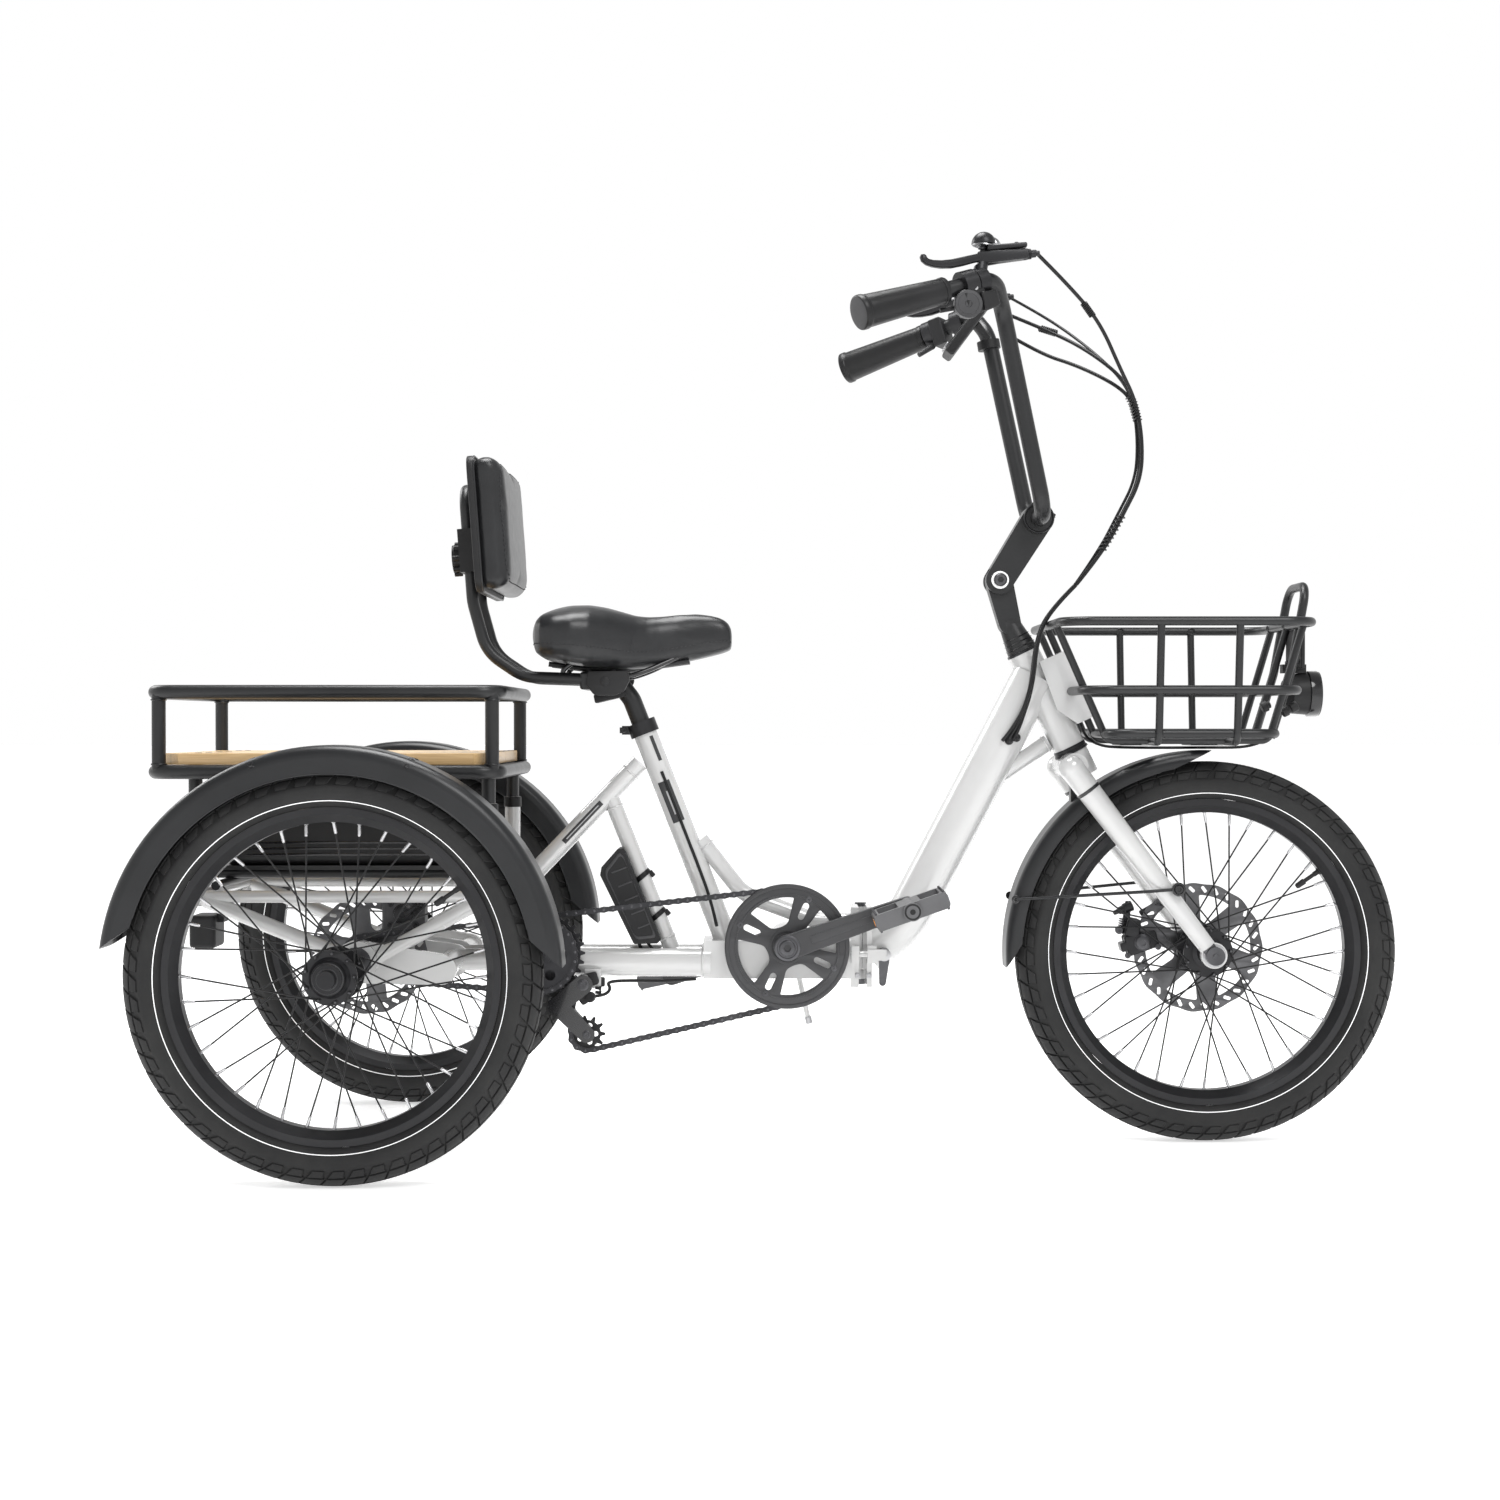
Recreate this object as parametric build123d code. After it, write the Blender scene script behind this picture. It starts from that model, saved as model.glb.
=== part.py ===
from build123d import *
import os
from math import acos, asin, atan2, cos, hypot, pi, radians, sin, tan

# Adult folding tricycle, in millimetres. X points forward, Y to the rider's left, Z up.
# While it is drawn, X = 0 is the rear axle and Z = 0 the ground. save() then moves every
# piece back by MID_X, so that the finished object stands on the middle of its own footprint.

# ---- driving dimensions -------------------------------------------------------------------
WHEEL_R = 260.0                 # 20 x 2.4 tyre
WHEELBASE = 1135.7
HALF_TRACK = 320.0
TYRE_HALF = 31.0
RIM_R = 209.0
RIM_BED_R = 190.0
SPOKES = 36
SPOKE_R = 1.1

CHAIN_PITCH = 12.7
RING_TEETH, COG_TEETH, PULLEY_TEETH, GUIDE_TEETH = 38, 24, 11, 10
JACK_TEETH, AXLE_TEETH = 24, 14
COG_SIZES = (28, 24, 21, 18, 16, 14)
COG_STEP = 4.8
CHAIN_Y = -58.8                 # plane of the pedal chain
FINAL_Y = -92.0                 # plane of the chain from the jackshaft to the axle
TOOTH_HALF = 0.95

BB = Vector(563, 0, 272)        # bottom bracket
JACK = Vector(232, 0, 262)      # jackshaft, which carries the sprocket cluster
AXLE = Vector(0, 0, WHEEL_R)
FRONT = Vector(WHEELBASE, 0, WHEEL_R)
GUIDE = Vector(255, 0, 193)     # upper derailleur pulley
TENSION = Vector(293.7, 0, 153.6)
CRANK_LENGTH = 170.0
CRANK_ANGLE = 19.3              # right crank above the horizontal, ahead of the bracket
SPINDLE_R = 8.0

STAY_Y, STAY_R = 28.0, 19.0     # the two bottom tubes
SUB_Y = 150.0                   # side trusses of the rear subframe
RAIL_Z = 345.0
AXLE_R = 10.0
FIT = 0.05                      # radial running clearance

SEAT_TOP = Vector(366.4, 0, 565.2)
SEAT_FOOT = Vector(482.8, 0, 267.7)
POST_R = 12.7

HINGE_X = 666.0                 # middle of the fold joint
HINGE_Y = 41.0
PIN_R = 5.0

STEER_LOW = Vector(951.9, 0, 534.5)
STEER_DIR = Vector(-0.438, 0, 0.899).normalized()
STEERER_R = 14.3
LEG_Y = 64.0
CROWN = Vector(950, 0, 514)
CROWN_R = 17.5

STEM_PIVOT = Vector(852.9, 0, 766.4)
BAR_CENTRE = Vector(905, 0, 850)
BAR_R = 11.1
GRIP_END = Vector(655.6, -230, 1093)
BAR_KNEE = Vector(832, -147, 1152)
LEVER_PIVOT = Vector(815, -152, 1176)
LEVER_TIP = Vector(730, -190, 1166)
LEVER_AXIS = Vector(0.4, -0.9, 0).normalized()

FENDER_R = 285.0
FENDER_FRONT, FENDER_BACK = 2.5, 173.0
PAD_LEAN = 4.2

MID_X = (WHEELBASE + WHEEL_R - FENDER_R * cos(radians(180 - FENDER_BACK))) / 2


# ---- helpers ------------------------------------------------------------------------------
def save(name, *shapes):
    """Write one node, as one or more separate solids."""
    solids = [Pos(-MID_X, 0, 0) * s for shape in shapes for s in shape.solids()]
    whole = solids[0] if len(solids) == 1 else Compound(children=solids)
    export_step(whole, f"parts/{name}.step")


def weld(*shapes):
    return Part() + [s for shape in shapes for s in shape.solids()]


def both(shape):
    """A shape and its mirror image on the other side of the object."""
    return [shape, mirror(shape, Plane.XZ)]


def at(point, y):
    return Vector(point.X, y, point.Z)


def rod(a, b, r, r_end=None):
    a, b = Vector(a), Vector(b)
    plane = Plane(origin=a, z_dir=b - a)
    if r_end is None:
        return Solid.make_cylinder(r, (b - a).length, plane)
    return Solid.make_cone(r, r_end, (b - a).length, plane)


def cross(point, r, y0, y1):
    """A round bar along Y through a point."""
    return rod(at(point, min(y0, y1)), at(point, max(y0, y1)), r)


def ring(point, r_out, r_in, y0, y1):
    return cross(point, r_out, y0, y1) - cross(point, r_in, min(y0, y1) - 1, max(y0, y1) + 1)


def bent(points, bend, r):
    """A tube along straight runs joined by arcs; bend is one radius or a list of them."""
    path = FilletPolyline(*points, radius=bend)
    return sweep(Plane(origin=path @ 0, z_dir=path % 0) * Circle(r), path=path)


def loop(points, bend, r):
    path = FilletPolyline(*points, radius=bend, close=True)
    return sweep(Plane(origin=path @ 0, z_dir=path % 0) * Circle(r), path=path)


def cable(points, r):
    """A cable: each arc is as large as its two runs allow."""
    points = [Vector(p) for p in points]
    radii = []
    for a, b, c in zip(points, points[1:], points[2:]):
        turn = radians((b - a).get_angle(c - b))
        radii.append(0.45 * min((b - a).length, (c - b).length) / tan(turn / 2))
    print("cable radii", [round(x) for x in radii])
    return bent(points, radii, r)


def slab(face, y0, y1):
    """A face drawn in (x, z), filled between two planes across the object."""
    plane = Plane(origin=(0, max(y0, y1), 0), x_dir=(1, 0, 0), z_dir=(0, -1, 0))
    return extrude(plane * face, amount=abs(y1 - y0))


def outline(*points):
    return make_face(Polyline(*points, close=True))


def link(a, b, r_a, r_b, y0, y1):
    """Two round ends joined by their common tangents."""
    length = hypot(b.X - a.X, b.Z - a.Z)
    heading = atan2(b.Z - a.Z, b.X - a.X)
    lean = acos((r_a - r_b) / length)
    rim = [
        (p.X + r * cos(heading + s * lean), p.Z + r * sin(heading + s * lean))
        for p, r, s in ((a, r_a, 1), (b, r_b, 1), (b, r_b, -1), (a, r_a, -1))
    ]
    return slab(outline(*rim) + Pos(a.X, a.Z) * Circle(r_a) + Pos(b.X, b.Z) * Circle(r_b), y0, y1)


def box(x0, x1, y0, y1, z0, z1, round_edges=0):
    body = Pos((x0 + x1) / 2, (y0 + y1) / 2, (z0 + z1) / 2) * Box(x1 - x0, y1 - y0, z1 - z0)
    return fillet(body.edges(), round_edges) if round_edges else body


def on_steer(z):
    """The point of the steering axis at a height."""
    return STEER_LOW + STEER_DIR * ((z - STEER_LOW.Z) / STEER_DIR.Z)


def pitch_radius(teeth):
    return CHAIN_PITCH / (2 * sin(pi / teeth))


def sprocket(point, teeth, y, bore):
    pitch = pitch_radius(teeth)
    root, tip = pitch - 3.9, pitch + 2.2
    rim = []
    for i in range(teeth):
        for turn, r in ((-0.5, root), (-0.3, root), (-0.1, tip), (0.1, tip), (0.3, root)):
            angle = 2 * pi * (i + turn) / teeth
            rim.append((point.X + r * cos(angle), point.Z + r * sin(angle)))
    face = outline(*rim) - Pos(point.X, point.Z) * Circle(bore)
    return slab(face, y - TOOTH_HALF, y + TOOTH_HALF)


def tangent_angle(a, b, r_a, r_b):
    """Angle of the spoke at which a belt leaves wheel a for wheel b."""
    heading = atan2(b.Z - a.Z, b.X - a.X)
    return heading + asin((r_b - r_a) / hypot(b.X - a.X, b.Z - a.Z)) + pi / 2


def chain_ribbons(wheels, y):
    """The two rows of side plates of a closed chain.

    wheels lists (centre, pitch radius) in the order that the chain meets them, clockwise,
    with a negative radius where the chain bends the other way.
    """
    half = 4.0
    pieces = []
    leave = []
    count = len(wheels)
    for i, (a, r_a) in enumerate(wheels):
        b, r_b = wheels[(i + 1) % count]
        angle = tangent_angle(a, b, r_a, r_b)
        leave.append(angle)
        start = (a.X + r_a * cos(angle), a.Z + r_a * sin(angle))
        end = (b.X + r_b * cos(angle), b.Z + r_b * sin(angle))
        nx, nz = half * cos(angle), half * sin(angle)
        pieces.append(outline(
            (start[0] + nx, start[1] + nz), (end[0] + nx, end[1] + nz),
            (end[0] - nx, end[1] - nz), (start[0] - nx, start[1] - nz)))
    for i, (centre, radius) in enumerate(wheels):
        a0, a1 = leave[i - 1], leave[i]
        flip = 0 if radius > 0 else pi
        sweep_angle = (a0 - a1) % (2 * pi) if radius > 0 else (a1 - a0) % (2 * pi)
        sense = -1 if radius > 0 else 1
        angles = [a0 + flip + sense * sweep_angle * k / 2 for k in range(3)]
        r_in, r_out = abs(radius) - half, abs(radius) + half
        place = [[(centre.X + r * cos(t), centre.Z + r * sin(t)) for t in angles] for r in (r_in, r_out)]
        edges = [
            ThreePointArc(*place[0]), Line(place[0][2], place[1][2]),
            ThreePointArc(*place[1]), Line(place[1][0], place[0][0])]
        pieces.append(make_face(edges))
    band = Sketch() + pieces
    return [slab(band, y + side * 1.8, y + side * 3.3) for side in (-1, 1)]


# ---- wheels -------------------------------------------------------------------------------
def tyre():
    rim_gap = 0.4
    half = Polyline((RIM_R - 5.5, 0), (RIM_R - 5.5, -15.8), (RIM_R + rim_gap, -15.8), (RIM_R + rim_gap, -19.5))
    side = ThreePointArc((RIM_R + rim_gap, -19.5), (217, -28), (231, -TYRE_HALF))
    crown = ThreePointArc((231, -TYRE_HALF), (251, -21.5), (WHEEL_R, 0))
    middle = Line((WHEEL_R, 0), (RIM_R - 5.5, 0))
    half_face = make_face([*half.edges(), side, crown, middle])
    section = half_face + mirror(half_face, Plane.XZ)
    return revolve(section, Axis.Y, 360)


def rim():
    return revolve(outline(
        (RIM_BED_R, -8), (RIM_BED_R, 8), (200, 20), (RIM_R, 20), (RIM_R, 16.5), (203, 16),
        (197, 8), (197, -8), (203, -16), (RIM_R, -16.5), (RIM_R, -20), (200, -20)), Axis.Y, 360)


def spokes(flange_half, hole_r):
    """Three-cross lacing: heads alternate between the two faces of each flange."""
    wires = []
    for i in range(SPOKES):
        side = 1 if i % 2 else -1
        trail = 1 if (i // 2) % 2 else -1
        at_rim = 2 * pi * i / SPOKES
        at_hub = at_rim + trail * radians(64)
        face = 3.9 if trail > 0 else -2.6
        start = (hole_r * cos(at_hub), side * (flange_half + face), hole_r * sin(at_hub))
        end = ((RIM_BED_R - 0.7) * cos(at_rim), side * 2.5, (RIM_BED_R - 0.7) * sin(at_rim))
        wires.append(rod(start, end, SPOKE_R))
    return wires


def hub(profile, bore, flange_half, flange_r):
    """A turned hub: profile is its outline from one end to the other, as (y, radius)."""
    points = [(r, y) for y, r in profile]
    body = revolve(outline((0, profile[0][0]), *points, (0, profile[-1][0])), Axis.Y, 360)
    for side in (-1, 1):
        y = side * flange_half
        body += ring(Vector(0, 0, 0), flange_r, 5, y - 1.3, y + 1.3)
    return body - bore


def place_wheel(centre, shapes):
    return [Pos(centre.X, centre.Y, centre.Z) * s for s in shapes]


def make_wheels():
    origin = Vector(0, 0, 0)
    rear_profile = [(-56, 9), (-56, 11), (-46, 12), (-46, 18), (-32, 22), (-27, 26),
                    (-22, 20), (22, 20), (27, 24), (38, 22)]
    blind = cross(origin, AXLE_R + 0.02, -46, 60)
    flanges = 26
    for side, name in ((-1, "right"), (1, "left")):
        centre = Vector(0, -HALF_TRACK, WHEEL_R)
        pieces = {
            "tyre": place_wheel(centre, [tyre()]),
            "rim": place_wheel(centre, [rim(), *spokes(flanges, 30)]),
            "hub": place_wheel(centre, [hub(rear_profile, blind, flanges, 34)])
            + [cross(AXLE, AXLE_R, -HALF_TRACK - 45, -3)],
        }
        for part, shapes in pieces.items():
            if side > 0:
                shapes = [mirror(s, Plane.XZ) for s in shapes]
            save(f"{name}_{part}", *shapes)

    front_profile = [(-52, 9), (-52, 14), (-32, 16), (-28, 22), (-20, 17), (20, 17), (28, 24),
                     (34, 24), (34, 16), (52, 14)]
    through = cross(origin, 5 + FIT, -60, 60)
    save("front_tyre", *place_wheel(FRONT, [tyre()]))
    save("front_rim", *place_wheel(FRONT, [rim(), *spokes(25, 30)]))
    save("front_hub", *place_wheel(FRONT, [hub(front_profile, through, 25, 33.5)]))


def rotor(point, radius, y, bore):
    """A brake disc: a drilled ring on six raked arms round a boss."""
    face = Circle(radius) - Circle(radius * 0.8)
    for i in range(6):
        angle = 60 * i
        start = Vector(0, 0, 0) + Vector(26, 0, 0).rotate(Axis.Z, angle)
        end = Vector(radius * 0.83, 0, 0).rotate(Axis.Z, angle + 24)
        across = (end - start).normalized().rotate(Axis.Z, 90) * 3.5
        face += outline(*[(p.X, p.Y) for p in (start + across, end + across, end - across, start - across)])
    face += Circle(29)
    face -= Circle(bore)
    holes = [Rot(0, 0, 15 * i) * Pos(radius * (0.87 if i % 2 else 0.93), 0) * Circle(radius * 0.03)
             for i in range(24)]
    face -= holes
    return slab(Pos(point.X, point.Z) * face, y - 1, y + 1)


# ---- drivetrain ---------------------------------------------------------------------------
def crank_end(angle, reach=CRANK_LENGTH):
    return BB + Vector(reach * cos(radians(angle)), 0, reach * sin(radians(angle)))


def make_crankset():
    arm_y0, arm_y1 = 79, 91
    pedal_hole = SPINDLE_R - 3 + 0.02
    arms = []
    for side, angle in ((-1, CRANK_ANGLE), (1, CRANK_ANGLE + 180)):
        end = crank_end(angle)
        arm = link(BB, end, 17, 12.5, side * arm_y0, side * arm_y1)
        arm = fillet(arm.edges().filter_by(GeomType.LINE, reverse=True).filter_by(Plane.XZ), 2)
        arm += cross(BB, 15, side * 62, side * arm_y0)
        arm -= cross(BB, SPINDLE_R + 0.02, side * 55, side * 88)
        arms.append(arm - cross(end, pedal_hole, side * 70, side * 100))
    spindle = cross(BB, SPINDLE_R, -87.5, 87.5)
    pedal_pins = [cross(crank_end(CRANK_ANGLE + turn), 5, side * 79, side * 190)
                  for side, turn in ((-1, 0), (1, 180))]
    save("cranks", *arms, spindle, *pedal_pins)
    save("chainring", sprocket(BB, RING_TEETH, CHAIN_Y, 66))
    save("chain_guard", chain_guard())


def chain_guard():
    """The outer disc of the chainring, with four large windows and four slotted arms."""
    face = Circle(84)
    for start in (20, 110, 200, 290):
        face -= SlotArc(CenterArc((0, 0), 52, start - 17, 34), 32)
        face -= Rot(0, 0, start + 45) * Pos(50, 0) * SlotOverall(24, 7)
    face -= Circle(15.05)
    disc = slab(Pos(BB.X, BB.Z) * face, -67, -64)
    for turn in (65, 155, 245, 335):
        spot = crank_end(turn, 69.5)
        disc += cross(spot, 3, -64, CHAIN_Y - TOOTH_HALF)
    return disc


def pedal(centre, side, tilt):
    """A cage pedal with open windows fore and aft of its barrel."""
    y0, y1 = 97, 186
    frame = box(-50, 50, y0, y1, -11, 11)
    frame = fillet(frame.edges().filter_by(Axis.Y), 7)
    for end in (-1, 1):
        frame -= box(*sorted((end * 15, end * 42)), y0 + 9, y1 - 9, -12, 12)
    frame += cross(Vector(0, 0, 0), 12, y0, y1 + 5)
    frame -= cross(Vector(0, 0, 0), 5 + FIT, y0 - 1, 190.5)
    frame = Pos(centre.X, 0, centre.Z) * Rot(0, -tilt, 0) * frame
    return frame if side > 0 else mirror(frame, Plane.XZ)


def make_drive():
    cogs = None
    for i, teeth in enumerate(COG_SIZES):
        cog = sprocket(JACK, teeth, CHAIN_Y + COG_STEP * (1 - i), 15)
        cogs = cog if cogs is None else cogs + cog
    cogs += ring(JACK, 17.5, SPINDLE_R + FIT, -84, -52)
    save("freewheel_sprockets", cogs)

    plate = sprocket(JACK, JACK_TEETH, FINAL_Y, SPINDLE_R + 0.02) + ring(JACK, 16, SPINDLE_R + 0.02, -97, -86)
    for i in range(6):
        plate -= cross(JACK + Vector(30, 0, 0).rotate(Axis.Y, 60 * i), 7, -94, -90)
    save("jackshaft", cross(JACK, SPINDLE_R, -99, 44), plate)
    save("axle_sprocket", sprocket(AXLE, AXLE_TEETH, FINAL_Y, AXLE_R + 0.02)
         + ring(AXLE, 18, AXLE_R + 0.02, -104, -86))
    boss = ring(AXLE, 22, AXLE_R + 0.02, -71, -59)
    save("rear_rotor", rotor(AXLE, 80, -60, AXLE_R + 0.02) + boss)
    front_boss = ring(FRONT, 24, 16.2, 44, 49)
    save("front_rotor", rotor(FRONT, 90, 48, 16.2) + front_boss)

    for name, point, teeth in (("upper_pulley", GUIDE, GUIDE_TEETH), ("lower_pulley", TENSION, PULLEY_TEETH)):
        wheel = sprocket(point, teeth, CHAIN_Y, 2.5 + FIT)
        for i in range(5):
            wheel -= cross(point + Vector(11.5, 0, 0).rotate(Axis.Y, 72 * i), 3.6, -62, -56)
        save(name, wheel)

    pedal_chain = chain_ribbons([
        (BB, pitch_radius(RING_TEETH)), (TENSION, pitch_radius(PULLEY_TEETH)),
        (GUIDE, -pitch_radius(GUIDE_TEETH)), (JACK, pitch_radius(COG_TEETH))], CHAIN_Y)
    final_chain = chain_ribbons([
        (JACK, pitch_radius(JACK_TEETH)), (AXLE, pitch_radius(AXLE_TEETH))], FINAL_Y)
    save("chains", *pedal_chain, *final_chain)


def make_derailleur():
    knuckle = Vector(290, 0, 222)
    body = link(knuckle, GUIDE, 13, 12, -82, -69) + cross(knuckle, 8, -82, -50)
    body += link(GUIDE, TENSION, 13, 11, -69, -66)
    body += link(GUIDE, TENSION, 12, 10, -53, -51.2)
    for point in (GUIDE, TENSION):
        body += cross(point, 2.5, -69, -51.2)
    save("derailleur", body)


# ---- rear frame ---------------------------------------------------------------------------
def make_rear_frame():
    rear_x, front_x = -211.0, 178.0
    axle_tube = Vector(110, 0, 250)
    seat_dir = (SEAT_TOP - SEAT_FOOT).normalized()
    seat_tube = rod(SEAT_FOOT, SEAT_TOP, 16)
    parts = [
        seat_tube,
        box(450, 655, -40, 40, 226, 277),
        cross(BB, 24, -45, 45),
        cross(JACK, 24, -46, 46),
        bent([(445, 0, 412), (503, 0, 338), (600, 0, 302), (652, 0, 300)], [60, 60], 11),
        rod((362, 0, 518), (178, 0, 325), 12.5),
        rod((321, 0, 473), (406, 0, 262), 11),
        rod((574.8, 0, 247.5), (594.2, 0, 160), 3.5),
        cross(Vector(front_x, 0, 328), 14, -SUB_Y, SUB_Y),
        cross(Vector(rear_x, 0, RAIL_Z), 10, -SUB_Y, SUB_Y),
        cross(axle_tube, 16, -SUB_Y, SUB_Y),
        box(290, 312, -50, -40, 214, 240),
    ]
    for y in (-STAY_Y, STAY_Y):
        parts.append(rod((JACK.X + 10, y, 247), (460, y, 247), STAY_R))
        parts.append(rod((JACK.X - 12, y, 252), (axle_tube.X, y, 250), 15))
        parts.append(link(axle_tube, AXLE, 22, 27, y - 4, y + 4))
    for y in (-SUB_Y, SUB_Y):
        parts.append(rod((rear_x, y, RAIL_Z), (front_x - 6, y, RAIL_Z), 8))
        parts.append(rod((rear_x + 2, y, RAIL_Z), (-14, y, 266), 10))
        parts.append(rod((front_x - 6, y, RAIL_Z), (8, y, 256), 10))
        parts.append(link(axle_tube, AXLE, 20, 28, y - 5, y + 5))
        parts.append(cross(AXLE, 28, y - 12, y + 12))
        for x in (rear_x, front_x - 6):
            parts.append(rod((x, y, RAIL_Z - 12), (x, y, 467), 11))
    parts.append(fold_plate(-1))
    frame = weld(*parts)
    frame -= cross(BB, 19, -60, 60)
    frame -= cross(JACK, 18, -60, 60)
    for y in (-SUB_Y, -STAY_Y, STAY_Y, SUB_Y):
        frame -= cross(AXLE, 20, y - 13, y + 13)
    frame -= rod(SEAT_TOP - seat_dir * 235, SEAT_TOP + seat_dir * 5, POST_R + FIT)
    for x in (40, 75):
        for y in (-STAY_Y, STAY_Y):
            frame -= cross(Vector(x, 0, 262 - 0.2 * x), 8, y - 6, y + 6)
    frame -= fold_bore(5.02, 0, 400)
    save("rear_frame", frame)

    cups = [ring(BB, 18.95, SPINDLE_R + FIT, s * 33, s * 45) + ring(BB, 23, SPINDLE_R + FIT, s * 45, s * 49)
            for s in (-1, 1)]
    jack_bearings = [ring(JACK, 17.95, SPINDLE_R + FIT, s * 32, s * 44) for s in (-1, 1)]
    axle_bearings = [ring(AXLE, 19.95, AXLE_R + FIT, y - w, y + w)
                     for y, w in ((-SUB_Y, 9), (-STAY_Y, 4), (STAY_Y, 4), (SUB_Y, 9))]
    save("bearings", *cups, *jack_bearings, *axle_bearings)

    clamp = rod(SEAT_TOP - seat_dir * 9, SEAT_TOP + seat_dir * 9, 20)
    clamp += box(338, 352, -7, 7, 556, 568)
    clamp += box(335, 345, -9, 9, 558, 566)
    clamp -= rod(SEAT_TOP - seat_dir * 30, SEAT_TOP, 16.02)
    clamp -= rod(SEAT_TOP - seat_dir * 30, SEAT_TOP + seat_dir * 30, POST_R + FIT)
    save("seat_collar", clamp)


def fold_plate(side):
    """One half of the fold joint: end plate, hinge knuckles and a lug for the latch."""
    z0, z1 = 214, 322
    inner, outer = 5.5, 12.4 if side > 0 else 16.4
    xs = sorted((HINGE_X + side * inner, HINGE_X + side * outer))
    plate = box(*xs, -36, 29, z0, z1)
    plate += box(*sorted((HINGE_X + side * 0.25, HINGE_X + side * 8)), -16, 16, 236, 300)
    plate += box(*sorted((HINGE_X + side * inner, HINGE_X + side * (18 if side > 0 else 16))), -54, -36, 248, 271)
    spans = ((244.4, 291.6),) if side > 0 else ((218, 244), (292, 318))
    pin = Vector(HINGE_X, HINGE_Y, 0)
    for low, high in spans:
        plate += rod(pin + Vector(0, 0, low), pin + Vector(0, 0, high), 10)
        plate += box(*sorted((HINGE_X, HINGE_X + side * outer)), 27, HINGE_Y, low, high)
    return plate


def fold_bore(r, z0, z1):
    return rod((HINGE_X, HINGE_Y, z0), (HINGE_X, HINGE_Y, z1), r)


def make_fold_parts():
    pin = fold_bore(PIN_R, 215, 318) + fold_bore(8, 318, 323) + fold_bore(7, 210, 217.8)
    save("hinge_pin", pin)
    pivot = Vector(694, 0, 259.7)
    lever = ring(pivot, 8.5, 3 + FIT, -54, -38)
    blade = link(pivot + Vector(0, 0, -9), pivot + Vector(-2, 0, -38), 7, 4.5, -52, -46)
    save("fold_latch", lever + (blade - cross(pivot, 8, -60, -30)))


# ---- rack, battery, fenders ---------------------------------------------------------------
def make_rack():
    x0, x1, y, bend, r = -260.0, 188.0, 186.0, 28.0, 9.2
    low, high = 508.5, 612.0
    corners = [(x0, 0), (x0, -y), (x1, -y), (x1, y), (x0, y)]
    rails = [loop([(a, b, z) for a, b in corners[1:]], bend, r) for z in (low, high)]
    inset = bend * (1 - sin(radians(45)))
    posts = [rod((px, py, low), (px, py, high), 9)
             for px in (x0 + inset, x1 - inset) for py in (-y + inset, y - inset)]
    bars = [rod((bx, -y, low), (bx, y, low), 8) for bx in (-211, -90, 40, 172)]
    legs = [rod((bx, s * SUB_Y, 467.2), (bx, s * SUB_Y, low), 9) for bx in (-211, 172) for s in (-1, 1)]
    stays = [box(bx - 10, bx + 10, *sorted((s * y, s * (HALF_TRACK - 38.2))), low - 3, low + 2)
             for bx in (-90, 92) for s in (-1, 1)]
    tray_bars = [rod((bx, -SUB_Y, RAIL_Z + 14.3), (bx, SUB_Y, RAIL_Z + 14.3), 6) for bx in (-185, 140)]
    tray_rails = [rod((-205, ty, RAIL_Z + 25), (160, ty, RAIL_Z + 25), 6) for ty in (-66, -22, 22, 66)]
    tray = box(-195, 155, -74, 74, RAIL_Z + 30, RAIL_Z + 36)
    save("rack_frame", weld(*rails, *posts, *bars, *legs, *stays), weld(*tray_bars, *tray_rails, tray))

    deck = box(x0 + 10, x1 - 10, -177, 177, low + r + 0.1, low + r + 15.1)
    for px in (x0 + inset, x1 - inset):
        for py in (-y + inset, y - inset):
            deck -= rod((px, py, low), (px, py, high), 16)
    save("rack_deck", deck)

    battery = box(-190, 150, -75, 75, RAIL_Z + 36.2, 455)
    battery = fillet(battery.edges().filter_by(Axis.X), 18)
    save("battery_case", fillet(battery.edges().filter_by(Axis.X, reverse=True), 5))

    lamp = box(-250, -214, -30, 30, 265, 310, 6) + box(-216, -206, -12, 12, 300, 334.8)
    save("tail_light", lamp)


def fender(outer_r, skirt_r, half, start, stop, front_skirt, back_skirt):
    """A mudguard about a wheel at the origin, from one angle to another above the front."""
    wall = 3.0
    shell = outline((skirt_r, -half), (outer_r, -half), (outer_r, half), (skirt_r, half))
    shell = fillet(shell.vertices().group_by(Axis.X)[-1], 15)
    core = outline((skirt_r - 9, -half + wall), (outer_r - wall, -half + wall),
                   (outer_r - wall, half - wall), (skirt_r - 9, half - wall))
    core = fillet(core.vertices().group_by(Axis.X)[-1], 12)
    body = revolve(shell - core, Axis((0, 0, 0), (0, -1, 0)), stop - start)
    body = Rot(0, -start, 0) * body
    spot = lambda r, a: (r * cos(radians(a)), r * sin(radians(a)))
    for tip, skirt, away in ((start, front_skirt, -1), (stop, back_skirt, 1)):
        body -= slab(outline(
            spot(outer_r, tip), spot(skirt_r - 3, skirt), spot(skirt_r - 25, skirt),
            spot(skirt_r - 30, tip + 4 * away), spot(outer_r, tip + 4 * away)), -half - 5, half + 5)
    return body


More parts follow.
